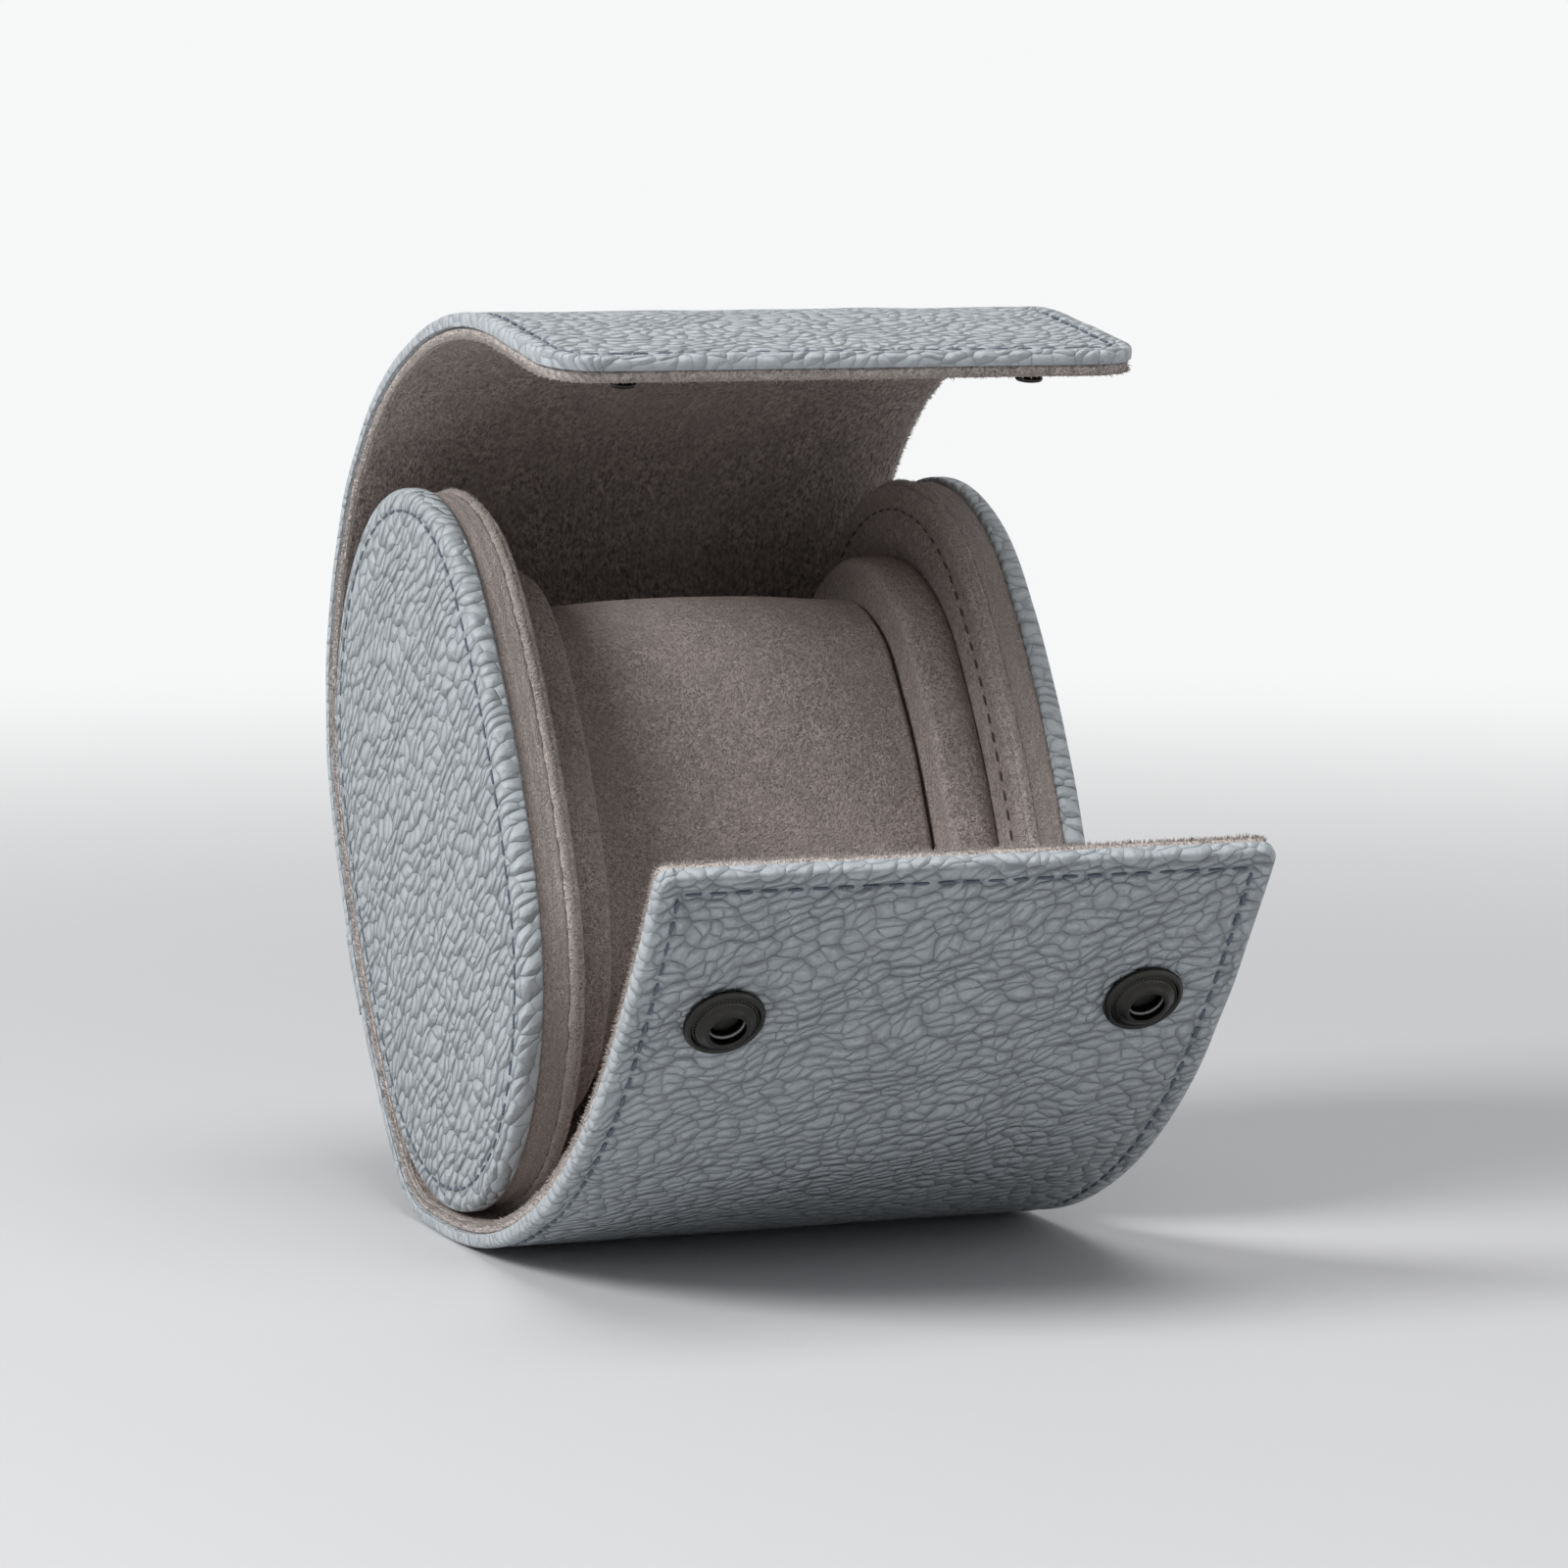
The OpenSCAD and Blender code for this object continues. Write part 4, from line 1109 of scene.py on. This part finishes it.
class ROLL_OT_wall_suede(bpy.types.Operator):
    """Make the suede band, the rolled seam and the inner face of each wall, with their stitches"""

    bl_idname = "roll.wall_suede"
    bl_label = "Wall suede"

    fibre_pitch = 0.07
    seam_stitches = 96

    def execute(self, context):
        v = context.scene.roll_wall
        oval = Oval(*WALL_OVAL)
        cap_x = (v.face - v.cap_depth) / MM
        seam_x, inner_x, set_in = v.seam_low / MM, v.inner_face / MM, v.band_set_in / MM
        for side, name in ((-1, "left"), (1, "right")):
            ribs = [(set_in + 0.10 * math.cos(i * 2.1) * (0 < i < 9), seam_x + (cap_x - seam_x) * i / 9)
                    for i in range(10)]
            band = loft(f"{name}_band", oval, [(set_in + 1.2, seam_x)] + ribs + [(set_in + 1.2, cap_x)],
                        "band_suede", side, ripple=0.14, ripple_scale=0.9, band_uv=True)
            carry(band, "wall_suede", "roll", f"{name}_wall_band")
            r = v.seam_radius / MM
            middle = seam_x - 0.5
            roll = [(set_in - 0.28 + r - r * math.sin(a), middle + r * 1.15 * math.cos(a))
                    for a in np.linspace(math.radians(-50), math.radians(230), 15)]
            roll = [(m, x) for m, x in reversed(roll)]
            seam = loft(f"{name}_seam", oval, roll, "wall_suede", side, ripple=0.20, ripple_scale=1.1,
                        rim=lambda m, x: 0.60)
            carry(seam, "wall_suede", "roll", f"{name}_wall_seam")
            edge = [(set_in + 1.0 - 0.8 * math.sin(a), inner_x + 0.8 - 0.8 * math.cos(a))
                    for a in np.linspace(math.pi / 2, 0, 7)]
            start = [(set_in + 0.2, seam_x - 2 * r + 0.3)]
            panel = loft(
                f"{name}_panel", oval, [(m, 2 * inner_x - x) for m, x in start + edge], "wall_suede", side,
                cap_rings=10, ripple=0.10, ripple_scale=0.35, rim=lambda m, x: max(0.0, 0.25 - abs(m - 1.2) * 0.2),
            )
            mirror_in_x(panel, side, inner_x)
            carve_line(panel, oval, v.stitch_margin / MM, 0.30, side, inner_x)
            carry(panel, "wall_suede", "roll", f"{name}_inner_panel")
            line = oval.line(v.stitch_margin / MM, side * (inner_x - 0.02))
            marks = [(place, along, (-side, 0, 0)) for place, along in paced(line, 2.9)]
            carry(sew(f"{name}_panel_stitches", marks, "dark_thread", long=1.7, thick=0.32), "wall_suede", "roll")
            roots, pitch = [], self.fibre_pitch
            for k, (place, _) in enumerate(paced(oval.line(0.62, side * middle), pitch)):
                out = oval.outs[int(k * oval.count / (oval.around / pitch)) % oval.count]
                shift = 1.9 * r * wave(k * 0.37, side, 2)
                roots.append((tuple(place + np.array([shift, 0, 0])), (-0.4 * side, *out)))
            fray = whiskers(f"{name}_seam_nap", roots, "wall_fray", long=0.75, wide=0.17)
            row = oval.line(set_in + 0.02, side * (seam_x + 0.12))
            count = self.seam_stitches
            marks = [(place, along, (0, *oval.outs[int(k * oval.count / count) % oval.count]))
                     for k, (place, along) in enumerate(paced(row, oval.around / (count + 0.01)))]
            carry(sew(f"{name}_seam_stitches", marks, "dark_thread", long=1.3, thick=0.24), "wall_suede", "roll")
            carry(fray, "wall_suede", "roll")
        return {"FINISHED"}


class ROLL_OT_pads(bpy.types.Operator):
    """Make the padded suede ovals on the walls' inner faces"""

    bl_idname = "roll.pads"
    bl_label = "Pads"

    def execute(self, context):
        v = context.scene.roll_wall
        oval = Oval(*PAD_OVAL)
        inner_x, face_x, r = v.inner_face / MM, v.pad_face / MM, v.pad_edge / MM
        for side, name in ((-1, "left"), (1, "right")):
            height = inner_x - face_x
            profile = [(0.9, inner_x), (0.35, inner_x + 0.5), (0.05, inner_x + 1.4), (-0.15, inner_x + 2.6),
                       (-0.1, inner_x + 3.6)]
            profile += [(m, inner_x + height - d) for m, d in reversed(rounded(r, steps=7))][1:]
            pad = loft(f"{name}_pad", oval, profile, "wall_suede", side, cap_rings=12, crown=-0.05, ripple=0.22,
                       ripple_scale=0.13, rim=lambda m, x: max(0.0, 0.3 - abs(m - 1.0) * 0.25))
            mirror_in_x(pad, side, inner_x)
            carry(pad, "wall_suede", "roll", f"{name}_pad_cover")
        return {"FINISHED"}


class ROLL_OT_pillow(bpy.types.Operator):
    """Make the pillow's crowned sleeve and its two end discs"""

    bl_idname = "roll.pillow"
    bl_label = "Pillow"

    def execute(self, context):
        v = context.scene.roll_pillow
        oval = Oval(*PILLOW_OVAL)
        half, crown, r = v.half_length / MM, v.crown / MM, v.edge / MM
        steps = [-half + r + (2 * half - 2 * r) * i / 24 for i in range(25)]
        body = [(crown * (x / half) ** 2, x) for x in steps]
        end_m = body[-1][0]
        lip_m = end_m + r + v.end_lip / MM
        turn = [(end_m + m, half - d) for m, d in reversed(rounded(r, steps=6))][1:]
        lip = [(lip_m, half - 0.05), (lip_m + 0.15, half - 0.6)]
        profile = [(m, -x) for m, x in reversed(turn + lip)] + body + turn + lip
        sleeve = loft("pillow_cover", oval, profile, "pillow_suede", 1, ripple=0.16, ripple_scale=0.12,
                      rim=lambda m, x: 0.30 if abs(x) > half - 1.2 else 0.0)
        carry(sleeve, "pillow_suede", "pillow", "pillow_sleeve")
        profile = [(lip_m + 0.1, half - 1.4), (lip_m + 0.1, half - 0.6), (lip_m + 0.5, half - 0.32)]
        for side, name in ((-1, "left"), (1, "right")):
            disc = loft(f"pillow_{name}_disc", oval, profile, "pillow_suede", side, cap_rings=10, crown=0.15,
                        ripple=0.05, ripple_scale=0.2)
            carry(disc, "pillow_suede", "pillow", f"pillow_{name}_end")
        return {"FINISHED"}


class ROLL_OT_snaps(bpy.types.Operator):
    """Make the beaded snap sockets and the studs that press into them"""

    bl_idname = "roll.snaps"
    bl_label = "Snaps"

    def execute(self, context):
        v, w = context.scene.roll_snap, context.scene.roll_wrap
        high, beads, bead_circle, bead_height = w.skin_high / MM, 52, 4.28, 1.30
        points, faces = [], []
        place, out = PATH.look(v.socket_from_edge / MM)
        ring = [
            (4.9, 0.0), (5.35, 0.12), (5.5, 0.4), (5.48, 0.75), (5.3, 1.08), (5.0, 1.28), (4.7, 1.25), (4.52, 1.08),
            (4.46, 1.12), (4.3, 1.22), (4.14, 1.32), (4.08, 1.45), (3.95, 1.55), (3.6, 1.78), (3.3, 2.02),
            (3.1, 2.26), (2.9, 2.37), (2.68, 2.38), (2.48, 2.26), (2.4, 2.05), (2.4, 1.9), (2.85, 1.85),
            (2.88, 0.6), (1.6, 0.55), (0.4, 0.55),
        ]
        for side in (-1, 1):
            base = np.array((side * v.spacing / MM / 2, *(place + high * out)))
            axis, across = np.array((0, *out)), np.array([1.0, 0, 0])
            lathe(points, faces, base, axis, across, ring)
            third = np.cross(axis, across)
            for k in range(beads):
                a = 2 * math.pi * k / beads
                spot = base + axis * bead_height + bead_circle * (across * math.cos(a) + third * math.sin(a))
                bead(points, faces, spot, v.bead / MM)
        sockets = build("sockets", points, faces, "gunmetal")
        smooth_by_angle(sockets)
        carry(sockets, "gunmetal", "front_flap_end", "snap_sockets")
        points, faces = [], []
        place, out = PATH.look(PATH.total - v.stud_from_edge / MM)
        stud = [
            (4.0, 0.0), (4.42, 0.08), (4.5, 0.25), (4.4, 0.45), (4.1, 0.56), (3.7, 0.6), (2.9, 0.57), (2.2, 0.52),
            (1.72, 0.66), (1.6, 0.9), (1.6, 1.3), (1.75, 1.5), (1.9, 1.75), (1.88, 2.0), (1.7, 2.2), (1.3, 2.3),
            (0.9, 2.27), (0.45, 2.15),
        ]
        for side in (-1, 1):
            base = (side * v.spacing / MM / 2, *place)
            lathe(points, faces, base, (0, *(-out)), (1, 0, 0), stud)
        studs = build("studs", points, faces, "gunmetal")
        smooth_by_angle(studs)
        carry(studs, "gunmetal", "top_flap_end", "snap_studs")
        return {"FINISHED"}


class ROLL_OT_inner_parts(bpy.types.Operator):
    """Give the boards, foam cores, posts and springs of the CAD part their finishes"""

    bl_idname = "roll.inner_parts"
    bl_label = "Inner parts"

    def execute(self, context):
        for name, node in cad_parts.items():
            if node.hide_render:
                continue
            kind = ("board" if "board" in name else "foam" if "core" in name
                    else "spring_steel" if "spring" in name else "gunmetal" if "post" in name else None)
            if kind is None:
                raise RuntimeError(f"{name} has no finish")
            if not node.material_slots:
                node.data.materials.append(finish(kind))
            for slot in node.material_slots:
                slot.material = finish(kind)
        return {"FINISHED"}


class ROLL_OT_stage(bpy.types.Operator):
    """Set the floor, the lamps, the sky and the camera"""

    bl_idname = "roll.stage"
    bl_label = "Stage"

    white = (0.93, 0.935, 0.94, 1)
    clear_from, clear_to = 130.0, 900.0  # in millimetres from the roll

    def seen(self, p):
        """1 for a ray that comes from the camera, a glossy face or through glass."""
        camera, gloss, through = (p.node("ShaderNodeLightPath", out=name) for name in (
            "Is Camera Ray", "Is Glossy Ray", "Is Transmission Ray"))
        return p.ease(camera + gloss + through, 0.0, 1.0, kind="LINEAR")

    def paper(self, look):
        """Pale paper that keeps the shadow round the roll and turns plain white further off."""
        p = Paint("floor")
        place = p.solid_place()
        mottle = p.cloud(place, 0.004, 2.0)
        tint = p.mix(mottle * 0.2, tuple(look.floor), tuple(c * 0.97 for c in look.floor))
        near = p.node("ShaderNodeBsdfPrincipled", None, {
            "Base Color": tint, "Roughness": 0.7, "Specular IOR Level": 0.2})
        glow = p.node("ShaderNodeEmission", None, {"Color": self.white, "Strength": 1.0})
        off = p.node("ShaderNodeVectorMath", {"operation": "LENGTH"}, {0: place}, out="Value")
        share = self.seen(p) * p.ease(off, self.clear_from, self.clear_to)
        return p.close(p.node("ShaderNodeMixShader", None, {0: share, 1: near, 2: glow}))

    def execute(self, context):
        v, look = context.scene.roll_stage, context.scene.roll_finish
        front, behind, round_r, tall, half_wide = -2.5, 1.6, 0.8, 3.2, 3.5
        sweep = [(front, 0.0), (behind, 0.0)] + [
            (behind + round_r * math.sin(a), round_r - round_r * math.cos(a))
            for a in np.linspace(0.15, math.pi / 2, 10)
        ] + [(behind + round_r, tall)]
        mesh = bpy.data.meshes.new("floor")
        points = [(x, y, z) for y, z in sweep for x in (-half_wide, half_wide)]
        mesh.from_pydata(points, [], [(2 * i, 2 * i + 1, 2 * i + 3, 2 * i + 2) for i in range(len(sweep) - 1)])
        for polygon in mesh.polygons:
            polygon.use_smooth = True
        mesh.materials.append(self.paper(look))
        floor = bpy.data.objects.new("floor", mesh)
        context.scene.collection.objects.link(floor)

        world = bpy.data.worlds.new("sky")
        context.scene.world = world
        world.use_nodes = True
        p = Paint("sky", world.node_tree)
        light = p.node("ShaderNodeBackground", None, {"Color": (0.96, 0.98, 1.0, 1), "Strength": v.sky})
        paper = p.node("ShaderNodeBackground", None, {"Color": self.white, "Strength": 1.0})
        end = world.node_tree.nodes.new("ShaderNodeOutputWorld")
        mixed = p.node("ShaderNodeMixShader", None, {0: self.seen(p), 1: light, 2: paper})
        world.node_tree.links.new(mixed.socket, end.inputs["Surface"])

        middle = Vector((0, -0.005, 0.062))
        lamps = (
            ("key", v.key, 0.55, (-0.95, -0.16, 0.82)), ("fill", v.fill, 0.8, (0.95, -0.75, 0.45)),
            ("top", v.top, 0.7, (0.05, -0.30, 1.05)),
        )
        for name, watts, wide, place in lamps:
            lamp = bpy.data.lights.new(name, "AREA")
            lamp.energy, lamp.size, lamp.shape = watts, wide, "DISK"
            stand = bpy.data.objects.new(name, lamp)
            stand.location = Vector(place)
            stand.rotation_euler = (middle - Vector(place)).to_track_quat("-Z", "Y").to_euler()
            context.scene.collection.objects.link(stand)

        camera = bpy.data.cameras.new("camera")
        camera.lens, camera.sensor_width, camera.clip_start = v.lens, 36, 0.02
        eye = bpy.data.objects.new("camera", camera)
        eye.location = (-0.2764, -0.7584, 0.1508)
        eye.rotation_euler = Vector((0.3501, 0.9304, -0.1090)).to_track_quat("-Z", "Y").to_euler()
        context.scene.collection.objects.link(eye)
        context.scene.camera = eye
        context.scene.view_settings.view_transform = "Standard"
        return {"FINISHED"}


PIECES = (
    ROLL_OT_outer_leather, ROLL_OT_back_lap, ROLL_OT_lining, ROLL_OT_edge_stitches, ROLL_OT_wall_caps,
    ROLL_OT_wall_suede, ROLL_OT_pads, ROLL_OT_pillow, ROLL_OT_snaps, ROLL_OT_inner_parts, ROLL_OT_stage,
)


class ROLL_PT_panel(bpy.types.Panel):
    """Lists the pieces of the roll"""

    bl_idname = "ROLL_PT_panel"
    bl_label = "Roll"
    bl_space_type = "VIEW_3D"
    bl_region_type = "UI"
    bl_category = "Roll"

    def draw(self, context):
        for piece in PIECES:
            self.layout.operator(piece.bl_idname)
        for key, group in GROUPS.items():
            box = self.layout.box()
            for prop in group.__annotations__:
                box.prop(getattr(context.scene, key), prop)


def register():
    for group in GROUPS.values():
        bpy.utils.register_class(group)
    for key, group in GROUPS.items():
        setattr(bpy.types.Scene, key, PointerProperty(type=group))
    for cls in (*PIECES, ROLL_PT_panel):
        bpy.utils.register_class(cls)


def unregister():
    for cls in reversed((*PIECES, ROLL_PT_panel)):
        bpy.utils.unregister_class(cls)
    for key, group in GROUPS.items():
        delattr(bpy.types.Scene, key)
        bpy.utils.unregister_class(group)


def main():
    register()
    for piece in PIECES:
        area, call = piece.bl_idname.split(".")
        getattr(getattr(bpy.ops, area), call)()


if __name__ == "__main__":
    main()
